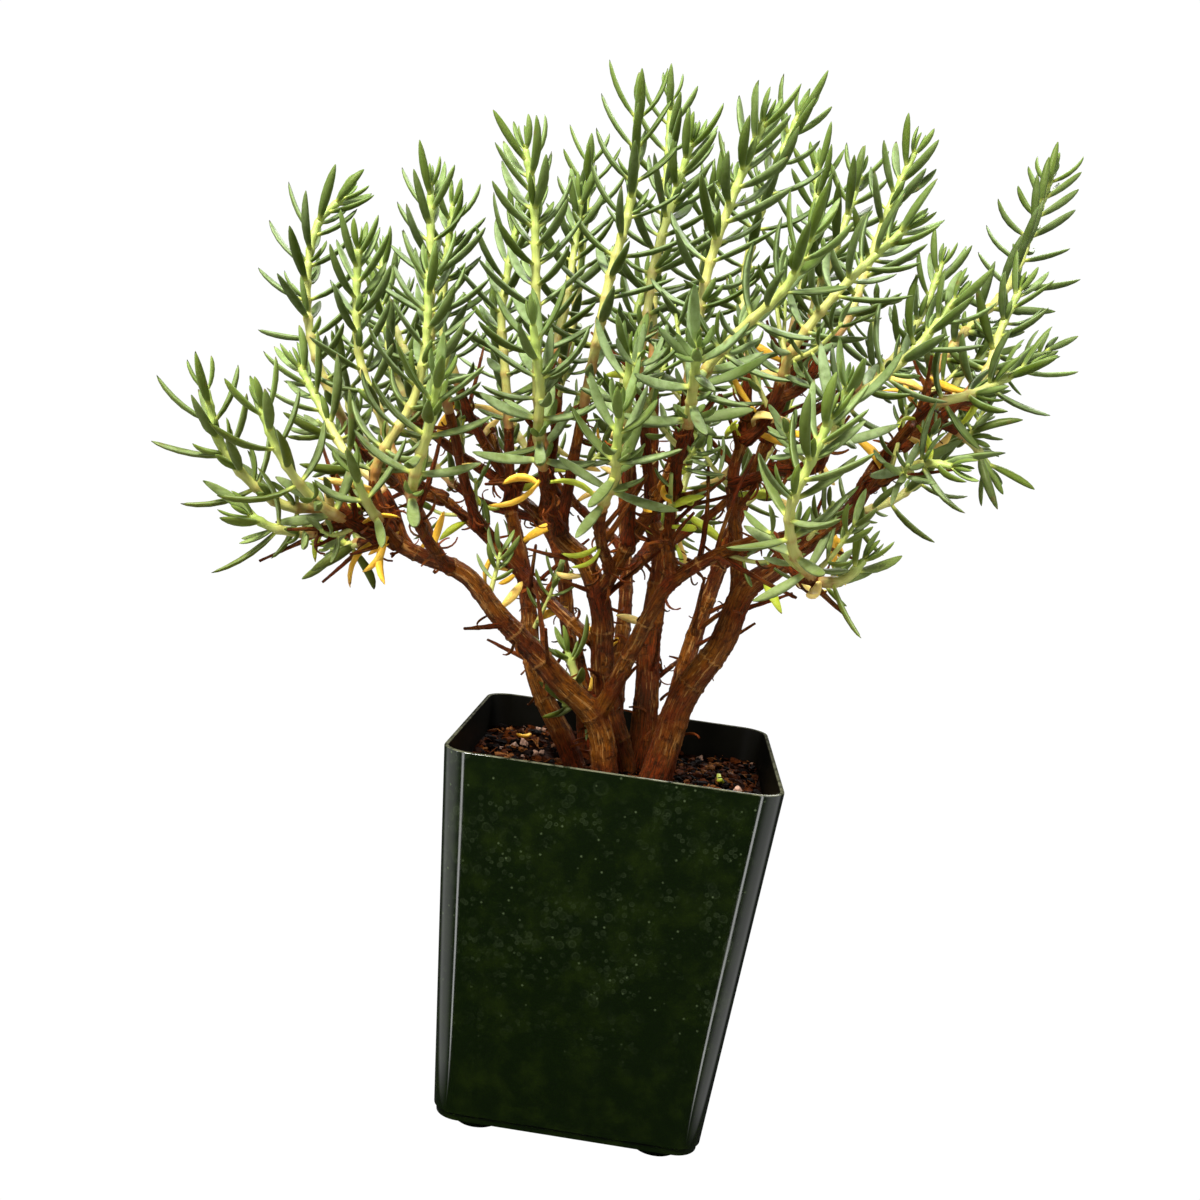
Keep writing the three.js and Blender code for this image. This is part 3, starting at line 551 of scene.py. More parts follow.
def tubeAlong(name, places, radii, roundness=2):  # a round bar through places, with its radius at each
    curve = bpy.data.curves.new(name, "CURVE")
    curve.dimensions = "3D"
    curve.bevel_depth = 1
    curve.bevel_resolution = roundness
    line = curve.splines.new("POLY")
    line.points.add(len(places) - 1)
    spots4 = np.ones((len(places), 4))
    spots4[:, :3] = np.asarray(places) * mm
    line.points.foreach_set("co", spots4.ravel())
    line.points.foreach_set("radius", np.asarray(radii, dtype=float) * mm)
    piece = bpy.data.objects.new(name, curve)
    bpy.context.collection.objects.link(piece)
    activate(piece)
    bpy.ops.object.convert(target="MESH")
    startEditing(piece)
    pick(piece, "EDGE", lambda edge: edge.is_boundary)
    bpy.ops.mesh.edge_face_add()
    turnFaces(inside=False)
    stopEditing()
    return piece


# Pot

potLook = {
    "rimHalf": 31.75,
    "baseHalf": 25.9,
    "corner": 5.8,
    "cornerSteps": 10,
    "height": 76,
    "wall": 0.8,
    "rimRound": 0.28,
    "stepTop": 4.6,
    "stepFoot": 4.2,
    "stepInset": 0.4,
    "footRadius": 4.5,
    "footEdge": 0.6,
    "footHeight": 3,
    "footSunk": 0.6,
    "footRing": 1.6,
    "footDish": 0.25,
    "footOffset": 17.7,
    "drainRadius": 3.2,
    "drainOffset": 17,
    "plastic": (0.0014, 0.0038, 0.0002),
    "paler": (0.0046, 0.0088, 0.0005),
    "waterMark": (0.05, 0.068, 0.03),
    "worn": (0.1, 0.1, 0.06),
    "inside": (0.0022, 0.0018, 0.0006),
    "shine": (0.45, 0.06),  # outside and inside
    "markLevels": (0.012, 0.04),  # metres up
    "wornLevels": (0.0758, 0.07595),
    # scale, how far apart the groups are, filled, ring, and the least level of the groups
    "drops": [(240, 60, 0.06, 0.1, 0.54), (430, 90, 0.08, 0.13, 0.5), (760, 130, 0.14, 0.2, 0.48)],
}


def buildPotLook():
    look, tree, place = newLook("dark green pot plastic")
    height = addNode(tree, "SeparateXYZ", {0: place}).outputs["Z"]
    marks = 0.0
    for scale, spread, disc, ring, low in potLook["drops"]:
        where = useGroup(tree, mottle, place, spread, low, low + 0.16)
        filled = times(tree, useGroup(tree, spots, place, scale, 0, 0.4), disc)
        rings = times(tree, useGroup(tree, spots, place, scale, 0.33, 0.09), ring)
        marks = maths(tree, "MAXIMUM", times(tree, plus(tree, filled, rings), where), marks)
    specks = times(tree, useGroup(tree, spots, place, 420, 0, 0.14), 0.9)
    marks = times(tree, maths(tree, "MAXIMUM", marks, specks), ramp(tree, height, *potLook["markLevels"]))
    inner = readValue(tree, "inner")
    chipped = useGroup(tree, mottle, place, 420, 0.3, 0.6)
    rim = times(tree, ramp(tree, height, *potLook["wornLevels"]), chipped)
    colour = layer(
        tree, potLook["plastic"],
        (useGroup(tree, mottle, place, 190, 0.42, 0.75), potLook["paler"]),
        (marks, potLook["waterMark"]),
        (inner, potLook["inside"]),
        (rim, potLook["worn"]),
    )
    shine = {"Specular IOR Level": ramp(tree, inner, 0, 1, *potLook["shine"])}
    fillSockets(tree, tree.nodes["Principled BSDF"], shine)
    dull = plus(tree, useGroup(tree, mottle, place, 90, 0.35, 0.75), marks)
    rough = ramp(tree, plus(tree, dull, times(tree, inner, 3)), 0, 4, 0.09, 0.5)
    relief = plus(tree, cloudy(tree, place, 35, 1), times(tree, cloudy(tree, place, 900, 2), 0.006))
    return finishLook(look, colour, rough, relief, 0.25, 0.0012)


def addCylinder(radius, depth, x, y, z):
    bpy.ops.mesh.primitive_cylinder_add(
        vertices=32, radius=radius * mm, depth=depth * mm, location=(x * mm, y * mm, z * mm)
    )
    settle(bpy.context.active_object)
    return bpy.context.active_object


def makeFoot():
    depth = potLook["footHeight"] + potLook["footSunk"]
    foot = addCylinder(potLook["footRadius"], depth, 0, 0, depth / 2)
    startEditing(foot)
    pick(foot, "FACE", lambda face: face.normal.z < -0.9)
    bpy.ops.mesh.bevel(offset=potLook["footEdge"] * mm, segments=3)
    pick(foot, "FACE", lambda face: face.normal.z < -0.999)
    bpy.ops.mesh.inset(thickness=potLook["footRing"] * mm, depth=0)
    bpy.ops.transform.translate(value=(0, 0, potLook["footDish"] * mm))
    stopEditing()
    return foot


def makeDrains():
    offset = potLook["drainOffset"]
    places = [(0, 0), (offset, 0), (-offset, 0), (0, offset), (0, -offset)]
    holes = [addCylinder(potLook["drainRadius"], 6, x, y, potLook["footHeight"]) for x, y in places]
    return joinAll(holes, "drain_cutter")


def makePot():
    half, top, foot = potLook["rimHalf"] * mm, potLook["height"] * mm, potLook["footHeight"] * mm
    bpy.ops.mesh.primitive_cube_add(
        size=1, location=(0, 0, (top + foot) / 2), scale=(2 * half, 2 * half, top - foot)
    )
    pot = bpy.context.active_object
    settle(pot)
    startEditing(pot)
    pick(pot, "FACE", lambda face: face.normal.z > 0.9)
    bpy.ops.mesh.delete(type="FACE")
    pick(pot, "EDGE", lambda edge: abs(edge.verts[0].co.z - edge.verts[1].co.z) > 0.01)
    bpy.ops.mesh.bevel(offset=potLook["corner"] * mm, segments=potLook["cornerSteps"])
    for level in (potLook["stepFoot"], potLook["stepTop"]):
        bpy.ops.mesh.select_all(action="SELECT")
        bpy.ops.mesh.bisect(plane_co=(0, 0, level * mm), plane_no=(0, 0, 1))
    shape = bmesh.from_edit_mesh(pot.data)
    for vert in shape.verts:
        up = (vert.co.z - foot) / (top - foot)
        narrow = lerp(potLook["baseHalf"], potLook["rimHalf"], up) / potLook["rimHalf"]
        if vert.co.z < (potLook["stepFoot"] + 0.1) * mm:
            narrow -= potLook["stepInset"] / potLook["rimHalf"]
        vert.co.x *= narrow
        vert.co.y *= narrow
    bmesh.update_edit_mesh(pot.data)
    turnFaces(inside=False)
    stopEditing()
    applyModifier(pot, "SOLIDIFY", thickness=potLook["wall"] * mm, offset=-1, use_even_offset=True)
    startEditing(pot)
    pick(pot, "FACE", lambda face: face.normal.z > 0.9 and face.calc_center_median().z > top - 0.0005)
    bpy.ops.mesh.region_to_loop()
    bpy.ops.mesh.bevel(offset=potLook["rimRound"] * mm, segments=3)
    stopEditing()
    drains = makeDrains()
    applyModifier(pot, "BOOLEAN", operation="DIFFERENCE", object=drains, solver="EXACT")
    bpy.data.objects.remove(drains)
    foot = makeFoot()
    feet = []
    for x in (-1, 1):
        for y in (-1, 1):
            copied = copyOf(foot, "pot_foot")
            offset = potLook["footOffset"] * mm
            copied.data.transform(Matrix.Translation((x * offset, y * offset, 0)))
            feet.append(copied)
    bpy.data.objects.remove(foot)
    pot = joinAll([pot] + feet, "nursery_pot")
    smoothShade(pot, 35)
    inner = [vert.co.x * vert.normal.x + vert.co.y * vert.normal.y < -0.01 for vert in pot.data.vertices]
    setValues(pot.data, "inner", inner)
    finishPiece(pot, buildPotLook(), "pot_plastic", "pot")
    print("pot made:", len(pot.data.polygons), "faces")


makePot()


# Soil

soilLook = {
    "top": 69,
    "swell": 0.9,
    "waveLength": 9,
    "waveShift": 0.6,
    "bottom": 4.3,
    "half": 30.05,
    "inside": 28.85,
    "corner": 4.6,
    "baseHalf": 25.2,
    "cells": 150,
    "clumpSize": 2.6,
    "clumpHeight": 1.5,
    "peat": (0.002, 0.0006, 0.0002),
    "damp": (0.014, 0.0035, 0.0008),
    "redBark": (0.085, 0.019, 0.003),
    "tanBark": (0.26, 0.095, 0.024),
    "paleGrain": (0.6, 0.37, 0.27),
    "chips": 1500,
    "chipSize": (0.4, 1.9),
    "grains": 46,
    "grainSize": (0.5, 1.7),
    "fibres": 80,
    "fibreRadii": [0.1, 0.14, 0.15, 0.14, 0.12, 0.05],
    "fibreTones": [0.45, 0.6, 0.74, 0.8],
    "rootHairs": 12,
    "rootRadii": [0.12, 0.13, 0.13, 0.12, 0.1, 0.08, 0.05],
    "rootTone": 0.93,
    "rootSpot": (-12.5, -13),
}


def soilHeight(x, y):
    length = soilLook["waveLength"]
    wave = math.sin(x / length) * math.cos(y / length + soilLook["waveShift"])
    return soilLook["top"] + soilLook["swell"] * wave


def buildSoilLook():
    look, tree, place = newLook("damp peat and bark mix", Specular_IOR_Level=0.02)
    patches = useGroup(tree, mottle, place, 350, 0.35, 0.7)
    barky = ramp(tree, readValue(tree, "clump"), 0.72, 0.8, 0, 0.8)
    colour = layer(tree, soilLook["peat"], (patches, soilLook["damp"]), (barky, soilLook["redBark"]))
    crumbs = cloudy(tree, place, 1800, 6)
    return finishLook(look, colour, ramp(tree, patches, 0, 1, 0.95, 0.6), crumbs, 0.8, 0.0005)


def buildBitsLook():  # bark chips, pale grains and fibres, by each bit's own tone
    look, tree, place = newLook("chips and pale grains", Specular_IOR_Level=0.04)
    tone = readValue(tree, "tone")
    streaks = useGroup(tree, mottle, place, 900, 0.35, 0.65)
    colour = layer(
        tree, soilLook["peat"],
        (ramp(tree, tone, 0.15, 0.55), soilLook["redBark"]),
        (ramp(tree, tone, 0.55, 0.75), soilLook["tanBark"]),
        (ramp(tree, tone, 0.8, 1), soilLook["paleGrain"]),
        (times(tree, streaks, 0.55), soilLook["peat"]),
    )
    return finishLook(look, colour, ramp(tree, streaks, 0, 1, 0.9, 0.6), streaks, 0.5, 0.0004)


def makeSoilBody():
    half = soilLook["half"]
    cells = soilLook["cells"]
    bpy.ops.mesh.primitive_grid_add(x_subdivisions=cells, y_subdivisions=cells, size=2)
    soil = bpy.context.active_object
    startEditing(soil)
    pick(soil, "EDGE", lambda edge: edge.is_boundary)
    bpy.ops.mesh.extrude_region_move(TRANSFORM_OT_translate={"value": (0, 0, -1)})
    bpy.ops.mesh.edge_face_add()
    turnFaces(inside=False)
    stopEditing()
    points = readPoints(soil.data)
    clumps = np.zeros(len(points))
    flat = half - soilLook["corner"]
    for index, (x, y, z) in enumerate(points):
        reach = max(abs(x), abs(y))
        if reach > 0:
            run = half / reach
            cornerX, cornerY = abs(x) * run, abs(y) * run
            if min(cornerX, cornerY) > flat:  # the outline's round corner in this direction
                ray = Vector((cornerX, cornerY)).normalized()
                middle = Vector((flat, flat))
                ahead = ray.dot(middle)
                rest = soilLook["corner"] ** 2 - (middle.length_squared - ahead ** 2)
                run *= (ahead + math.sqrt(max(rest, 0))) / math.hypot(cornerX, cornerY)
            x, y = x * run * reach, y * run * reach
        if z < -0.5:
            narrow = soilLook["baseHalf"] / half
            points[index] = (x * narrow, y * narrow, soilLook["bottom"])
            continue
        size = soilLook["clumpSize"]
        distances, centres = noise.voronoi(Vector((x, y, 0)) / size)
        clumps[index] = noise.cell(centres[0] * 9.7)
        lump = (distances[1] - distances[0]) * (0.4 + clumps[index])
        rough = noise.fractal(Vector((x, y, 3)) / 1.1, 0.8, 2.2, 4)
        rise = soilLook["clumpHeight"] * (min(lump, 0.8) - 0.35) + 0.32 * rough
        points[index] = (x, y, soilHeight(x, y) + rise * (1 if reach < 0.99 else 0.3))
    writePoints(soil.data, points * mm)
    setValues(soil.data, "clump", clumps)
    soil.name = "soil_mix"
    smoothShade(soil)
    finishPiece(soil, buildSoilLook(), "soil", "soil")


def modelChip(seed, stretch):  # a splintered crumb, one millimetre across
    bpy.ops.mesh.primitive_cube_add(size=1)
    chip = bpy.context.active_object
    startEditing(chip)
    bpy.ops.mesh.bevel(offset=0.22, segments=1)
    stopEditing()
    points = readPoints(chip.data)
    for index, point in enumerate(points):
        wobble = noise.noise_vector(Vector(point) * 1.7 + Vector((seed * 7, 0, 0)))
        points[index] = (np.array(point) + np.array(wobble) * 0.4) * stretch
    writePoints(chip.data, points)
    smoothShade(chip, 30)
    return chip


def anyAngle():
    return dice.uniform(0, 6.28)


def crawl(x, y, heading, sway, stride, drift, rises):  # places of a fibre that lies on the soil
    places = []
    for rise in rises:
        places.append((x, y, soilHeight(x, y) + rise))
        heading += dice.uniform(-sway, sway)
        x += math.cos(heading) * stride
        y += math.sin(heading) * stride + drift
        x, y = [min(max(value, -soilLook["inside"]), soilLook["inside"]) for value in (x, y)]
    return places


def thinBit(places, radii, tone):
    bit = tubeAlong("fibre", places, radii, 0)
    setValues(bit.data, "tone", tone)
    return bit


def scatterBits():
    masters = [modelChip(1, (1.5, 0.7, 0.4)), modelChip(2, (1, 0.8, 0.6)), modelChip(3, (0.9, 0.9, 0.85))]
    inside = soilLook["inside"]
    bits = []
    for k in range(soilLook["fibres"]):
        x, y = dice.uniform(-inside, inside), dice.uniform(-inside, inside)
        rises = [0.7 + 0.5 * math.sin(step * 1.3 + k) for step in range(6)]
        places = crawl(x, y, anyAngle(), 0.5, 1.1, 0, rises)
        bits.append(thinBit(places, soilLook["fibreRadii"], dice.choice(soilLook["fibreTones"])))
    for k in range(soilLook["rootHairs"]):  # pale roots that show above the soil
        rises = [2.6 - 0.08 * (step - 1) ** 2 for step in range(7)]
        places = crawl(*soilLook["rootSpot"], k * 2.4, 0.4, 0.7, -0.2, rises)
        bits.append(thinBit(places, soilLook["rootRadii"], soilLook["rootTone"]))
    for k in range(soilLook["chips"] + soilLook["grains"]):
        x, y = dice.uniform(-inside, inside), dice.uniform(-inside, inside)
        pale = k >= soilLook["chips"]
        if pale:
            size = dice.uniform(*soilLook["grainSize"])
        else:
            size = lerp(*soilLook["chipSize"], dice.random() ** 2)
        bit = copyOf(masters[2] if pale else masters[k % 2], "bit")
        turn = Matrix.Rotation(anyAngle(), 4, "Z") @ Matrix.Rotation(dice.uniform(-0.7, 0.7), 4, "X")
        place = Vector((x, y, soilHeight(x, y) + 0.25 * size)) * mm
        bit.data.transform(Matrix.Translation(place) @ turn @ Matrix.Scale(size * mm, 4))
        setValues(bit.data, "tone", dice.uniform(0.86, 1.0) if pale else dice.uniform(0, 1) ** 1.3 * 0.74)
        bits.append(bit)
    for master in masters:
        bpy.data.objects.remove(master)
    piece = joinAll(bits, "soil_bits")
    finishPiece(piece, buildBitsLook(), "soil")
    print("soil made:", len(piece.data.polygons), "faces of loose bits")


makeSoilBody()
scatterBits()


# Wood

woodLook = {
    "voxel": 0.5,
    "step": 0.7,
    "skin": 0.06,
    # how far the rough bark reaches from forks and up from the soil; the bark's colour darkens there too, as
    # painted shade
    "forkReach": 1.6,
    "lowReach": 14,
    "ringGap": 8.0,
    "ringWidth": 0.45,
    "ringHeight": 0.24,
    "flakeHeight": 0.5,
    "grainHeight": 0.16,
    "twigSwell": (0.5, 1, 1.5),  # height, place and width of the bulge where a twig leaves its limb
    "bareTwigs": 110,
    "bareLength": (6, 19),
    "bareRadius": (0.45, 0.75),
    "bareTip": 0.28,
    "barkDark": (0.006, 0.0008, 0.0002),
    "barkBrown": (0.155, 0.021, 0.001),
    "barkRed": (0.22, 0.022, 0.0012),
    "barkOlive": (0.29, 0.084, 0.003),
    # pale tan of the raised rings, and of the streaks, where it is also painted highlight
    "paleBarkAndHighlight": (0.72, 0.36, 0.1),
    "sheen": (1.0, 0.68, 0.36, 1),
}


def buildBarkLook():
    look, tree, place = newLook(
        "reddish brown bark", Specular_IOR_Level=0.34, Specular_Tint=woodLook["sheen"]
    )
    flow = readValue(tree, "flow", "Vector")
    rough = readValue(tree, "rough")
    lines = useGroup(tree, grain, flow, 1.3)
    fine = useGroup(tree, grain, flow, 3.2)
    cracks = useGroup(tree, mottle, place, 700, 0.5, 0.64)
    # pale tan lines along the smoother bark: paler bark and painted highlight together
    streaks = times(tree, ramp(tree, lines, 0.66, 0.98), ramp(tree, rough, 0.7, 0.2, 0.05, 0.5))
    flakes = useGroup(tree, mottle, flow, 4, 0.4, 0.58)
    # near-black bark with red flakes where the bark is rough, near forks and low on the trunk: flaky bark
    # and painted shade together
    flakedBarkAndPaintedShade = layer(tree, woodLook["barkDark"], (flakes, woodLook["barkRed"]))
    colour = layer(
        tree, woodLook["barkBrown"],
        (useGroup(tree, mottle, place, 120, 0.38, 0.66), woodLook["barkOlive"]),
        (times(tree, fine, 0.78), woodLook["barkDark"]),
        (times(tree, cracks, 0.6), woodLook["barkDark"]),
        (streaks, woodLook["paleBarkAndHighlight"]),
        (ramp(tree, readValue(tree, "ring"), 0.6, 0.98, 0, 0.35), woodLook["paleBarkAndHighlight"]),
        (ramp(tree, rough, 0.2, 0.95, 0, 0.8), flakedBarkAndPaintedShade),
    )
    dull = ramp(tree, plus(tree, rough, times(tree, fine, 0.4)), 0, 1.1, 0.34, 0.85)
    dull = minus(tree, dull, times(tree, streaks, 0.1))
    relief = plus(tree, minus(tree, lines, fine), times(tree, flakes, rough))
    return finishLook(look, colour, dull, minus(tree, relief, cracks), 0.9, 0.0004)


def ringMask(distance, seed):  # near the raised rings that the old leaf pairs left
    gap = woodLook["ringGap"]
    nearest = round(distance / gap)
    shift = noise.noise(Vector((nearest * 3.1, seed * 7.7, 0))) * gap * 0.3
    return math.exp(-((distance - nearest * gap - shift) / woodLook["ringWidth"]) ** 2)


def barkRelief(mesh, axes):  # axes: for each vertex its path's number, distance, angle, radius and roughness
    points = readPoints(mesh) / mm
    normals = np.empty(len(points) * 3)
    mesh.vertex_normals.foreach_get("vector", normals)
    normals = normals.reshape(-1, 3)
    rings = np.zeros(len(points))
    roughs = np.zeros(len(points))
    flows = np.zeros((len(points), 3))
    for index, (number, distance, angle, radius, rough) in enumerate(axes):
        flow = Vector((math.cos(angle) * radius, math.sin(angle) * radius, distance * 0.12 + number * 5))
        spread = noise.noise(Vector(points[index]) / 7 + Vector((0, 0, 9)))
        rough = min(max(rough + spread * 0.7, 0), 1)
        ring = ringMask(distance, number) * (1 - 0.5 * rough)
        near, _ = noise.voronoi(Vector(points[index]) / 1.5)
        flake = near[1] - near[0]
        height = ring * woodLook["ringHeight"] + noise.noise(flow * 1.8) * woodLook["grainHeight"]
        height += rough * woodLook["flakeHeight"] * (min(flake, 0.6) - 0.2)
        points[index] += normals[index] * height * min(1, radius / 1.5)
        rings[index], roughs[index], flows[index] = ring, rough, flow
    writePoints(mesh, points * mm)
    setValues(mesh, "ring", rings)
    setValues(mesh, "rough", roughs)
    setValues(mesh, "flow", flows, "FLOAT_VECTOR")


def angleAround(point, centre, side, up):
    away = point - centre
    return math.atan2(away.dot(up), away.dot(side))


def stopsAlong(path, start, end, step):  # distances along a path, and what pathAt says there
    distances = np.linspace(start, end, max(int((end - start) / step), 4))
    return distances, [pathAt(path, distance) for distance in distances]


def ringsOf(tube, count):  # for each vertex of a tube, the number of its stop and its angle round it
    numbers = np.arange(len(tube.data.vertices))
    sides = len(numbers) // count
    return np.minimum(numbers // sides, count - 1), (numbers % sides) * 2 * math.pi / sides


def makeLimbs():
    tubes = []
    stops = []
    for number, (sizes, path) in enumerate(limbPaths):
        distances, frames = stopsAlong(path, 0, path["length"], woodLook["step"])
        radii = lerp(*sizes, distances / path["length"])
        tubes.append(tubeAlong("limb", [frame[0] for frame in frames], radii + woodLook["skin"]))
        stops += [(number, *stop) for stop in zip(distances, radii, frames)]
    wood = joinAll(tubes, "limbs")
    applyModifier(wood, "REMESH", mode="VOXEL", voxel_size=woodLook["voxel"] * mm)
    applyModifier(wood, "SMOOTH", factor=0.5, iterations=4)
    tree = KDTree(len(stops))
    for index, (_, _, _, (place, _, _, _)) in enumerate(stops):
        tree.insert(place, index)
    tree.balance()
    axes = []
    for point in readPoints(wood.data) / mm:
        found = tree.find_n(point, 10)
        nearest = min(found, key=lambda hit: hit[2] - stops[hit[1]][2])[1]
        number, distance, radius, (place, _, side, up) = stops[nearest]
        others = [d - stops[i][2] for _, i, d in found if stops[i][0] != number]
        fork = max(0, 1 - min(others) / woodLook["forkReach"]) if others else 0
        low = max(0, 1 - (point[2] - soilLook["top"]) / woodLook["lowReach"])
        angle = angleAround(point, place, side, up)
        # rougher near forks and low on the trunk, where the bark's colour also darkens as painted shade
        axes.append((number, distance, angle, radius, 0.2 + 0.55 * fork + 0.4 * low))
    barkRelief(wood.data, axes)
    return wood


def makeTwig(number, distances, frames, radii, nominal, roughs, roundness=2):
    twig = tubeAlong("twig", [frame[0] for frame in frames], radii, roundness)
    stops, _ = ringsOf(twig, len(frames))
    axes = []
    for point, stop in zip(readPoints(twig.data) / mm, stops):
        place, _, side, up = frames[stop]
        axes.append((number, distances[stop], angleAround(point, place, side, up), nominal, roughs[stop]))
    barkRelief(twig.data, axes)
    return twig


def makeTwigs():
    twigs = []
    for number, (path, join) in enumerate(shootPaths):
        end = join + 0.5
        distances, frames = stopsAlong(path, 0, end, woodLook["step"])
        radii = lerp(*woodSizes["twigRadii"], distances / end) * 0.98
        swell, place, width = woodLook["twigSwell"]
        radii = radii + swell * np.exp(-((distances - place) / width) ** 2)
        # rougher at the twig's base, where the bark's colour also darkens as painted shade at the fork
        roughs = 0.35 + 0.5 * dice.random() + 0.35 * np.exp(-distances / 4)
        twigs.append(makeTwig(number + 20, distances, frames, radii, 1.1, roughs))
    return twigs


def spotOn(path, distance, radius):  # a stem's random side: place, direction, way out and radius
    place, along, side, up = pathAt(path, distance)
    angle = anyAngle()
    return place, along, side * math.cos(angle) + up * math.sin(angle), radius


def spotOnLimb(low, high):  # between two parts of a limb's length
    radii, path = dice.choice(limbPaths)
    part = dice.uniform(low, high)
    return spotOn(path, part * path["length"], lerp(*radii, part))


def spotOnTwig(low, high):  # the same on a twig or, past 1, on the leafy stem after it
    path, join = dice.choice(shootPaths)
    return spotOn(path, dice.uniform(low, high) * join, 1.0)


def makeBareTwigs():  # thin side twigs that have lost their leaves
    twigs = []
    for number in range(woodLook["bareTwigs"]):
        place, along, out, _ = spotOnLimb(0.35, 0.95) if number % 2 else spotOnTwig(0.2, 0.9)
        length = dice.uniform(*woodLook["bareLength"])
        bow = np.array([dice.uniform(-1, 1), dice.uniform(-1, 1), 0.3]) * length * 0.18
        heading = (out + along * 0.7) * length * 0.8
        path = makePath([place + heading * part + bow * part * part for part in (0, 0.35, 0.7, 1)])
        distances, frames = stopsAlong(path, 0, path["length"], woodLook["step"])
        radii = lerp(dice.uniform(*woodLook["bareRadius"]), woodLook["bareTip"], distances / path["length"])
        roughs = np.full(len(distances), 0.55)
        twigs.append(makeTwig(number + 90, distances, frames, radii, 0.6, roughs, 1))
    return twigs


def makeWood():
    wood = joinAll([makeLimbs()] + makeTwigs() + makeBareTwigs(), "wood_skin")
    smoothShade(wood)
    finishPiece(wood, buildBarkLook(), "bark", "wood")
    print("wood made:", len(wood.data.polygons), "faces")


makeWood()


# Leaves

leafSizes = {
    "width": 2.2,
    "thickness": 1.25,
    "bend": 0.26,
    "twist": 1.5,
    "sway": 0.1,
    "lengths": (10.5, 13.5, 10),
    "pitches": (76, 27),
    "gaps": (5, 2.4),
    "firstPair": 2.2,
    "tipMargin": 1,
    "sparse": 3,
    "turnSpread": 0.5,
    "sizeSpread": 0.28,
    "pitchSpread": 16,
    "stemRadii": (1.0, 0.65),
    "nodeSwell": 0.28,
    "nodeWidth": 0.6,
    "stemStep": 0.55,
    # part of the length, half width and thickness as parts of the whole, from the stem outwards
    "outline": [(0, 0.5, 0.62), (0.1, 0.56, 0.66), (0.26, 0.84, 0.9), (0.45, 1, 1), (0.63, 0.97, 0.96),
                (0.8, 0.76, 0.82), (0.92, 0.45, 0.55), (0.985, 0.16, 0.2)],
    "budLeaves": [(0.6, 6.2, 19), (0, 4.0, 8)],  # how far in from the tip, length and pitch of each pair
}

leafLook = {
    "bloom": (0.3, 0.385, 0.19),
    "face": (0.072, 0.113, 0.024),
    "back": (0.036, 0.058, 0.0015),
    "young": (0.21, 0.31, 0.04),
    "low": (0.13, 0.14, 0.012),
    "lowLevels": (0.165, 0.105),  # metres up
    "sheen": (0.95, 1.0, 0.55, 1),
    "base": (0.52, 0.56, 0.11),
    "scar": (0.12, 0.06, 0.02),
    "stemTip": (0.34, 0.43, 0.085),
    "stemCream": (0.48, 0.46, 0.12),
    "stemTan": (0.34, 0.14, 0.03),
    "tufts": 0.24,  # the share of leaves with a small shoot in their corner
    "tuftPitch": (28, 52),
    "tuftSize": (0.32, 0.6),
    "tuftTurn": (12, 28),
}

goldenPart = (math.sqrt(5) - 1) / 2
goldenAngle = 2 * math.pi * (1 - goldenPart)

leafBeads = np.array([(0.12, 0.8), (0.27, 1), (0.45, 1.2), (0.63, 1), (0.82, 0.7), (1, 0.3)])
beadStep = 1.5
beadMargin = 0.15
rootPart = 0.4
nearLeaf = 22
ownReach = 0.7
attempts = [
    (0, 0, 1), (20, 0, 1), (-20, 0, 1), (40, 0, 1), (-40, 0, 1), (0, -15, 1), (0, 15, 1),
    (20, -15, 0.85), (-20, -15, 0.85), (0, 0, 0.75), (20, 0, 0.7), (-20, 0, 0.7),
]


def scatter(k):
    return (k * goldenPart) % 1


def faceTurn(number, pair, partner):  # the side that a leaf faces
    return number * goldenAngle + (pair % 2 + 2 * partner) * math.pi / 2


def leafPairs(index):  # the pairs of leaves along a stem, those in the solids and those left to this script
    path, join = shootPaths[index]
    start = join + woodSizes["clearance"] / 2
    span = path["length"] - start - leafSizes["tipMargin"]
    along = leafSizes["firstPair"]
    pairs = []
    while along < span:
        up = along / span
        pair = len(pairs)
        sites = []
        for partner in (0, 1):
            draw = index * 37 + pair * 5 + partner
            turn, size, lift = [scatter(draw + k) - 0.5 for k in (0, 2, 3)]
            sites.append({
                "distance": start + along,
                "up": up,
                "turn": faceTurn(index, pair, partner) + leafSizes["turnSpread"] * turn,
                "size": 1 + leafSizes["sizeSpread"] * size,
                "lift": leafSizes["pitchSpread"] * lift,
            })
        gap = lerp(*leafSizes["gaps"], up)
        kept = pair % leafSizes["sparse"] != leafSizes["sparse"] - 1 or along + gap > span
        pairs.append((kept, sites))
        along += gap
    return pairs


def leafFrame(root, along, front, length, up=0):
    across = np.cross(along, front)
    return {"root": root, "along": along, "front": front, "across": across, "length": length, "up": up}


def placeLeaf(path, site, turned=0, raised=0, shortened=1):
    point, stemAlong, side, stemUp = pathAt(path, site["distance"])
    low, middle, top = leafSizes["lengths"]
    up = site["up"]
    base = lerp(low, middle, up * 2) if up < 0.5 else lerp(middle, top, up * 2 - 1)
    pitch = math.radians(lerp(*leafSizes["pitches"], up ** 1.4) + site["lift"] * (1 - up) + raised)
    turn = site["turn"] + math.radians(turned)
    out = side * math.cos(turn) + stemUp * math.sin(turn)
    along = stemAlong * math.cos(pitch) + out * math.sin(pitch)
    front = stemAlong * math.sin(pitch) - out * math.cos(pitch)
    return leafFrame(point, along, front, base * site["size"] * shortened, up)


def leafPoint(placed, part):
    rise = leafSizes["bend"] * placed["length"] * (part * part - part)
    return placed["root"] + placed["along"] * placed["length"] * part + placed["front"] * rise


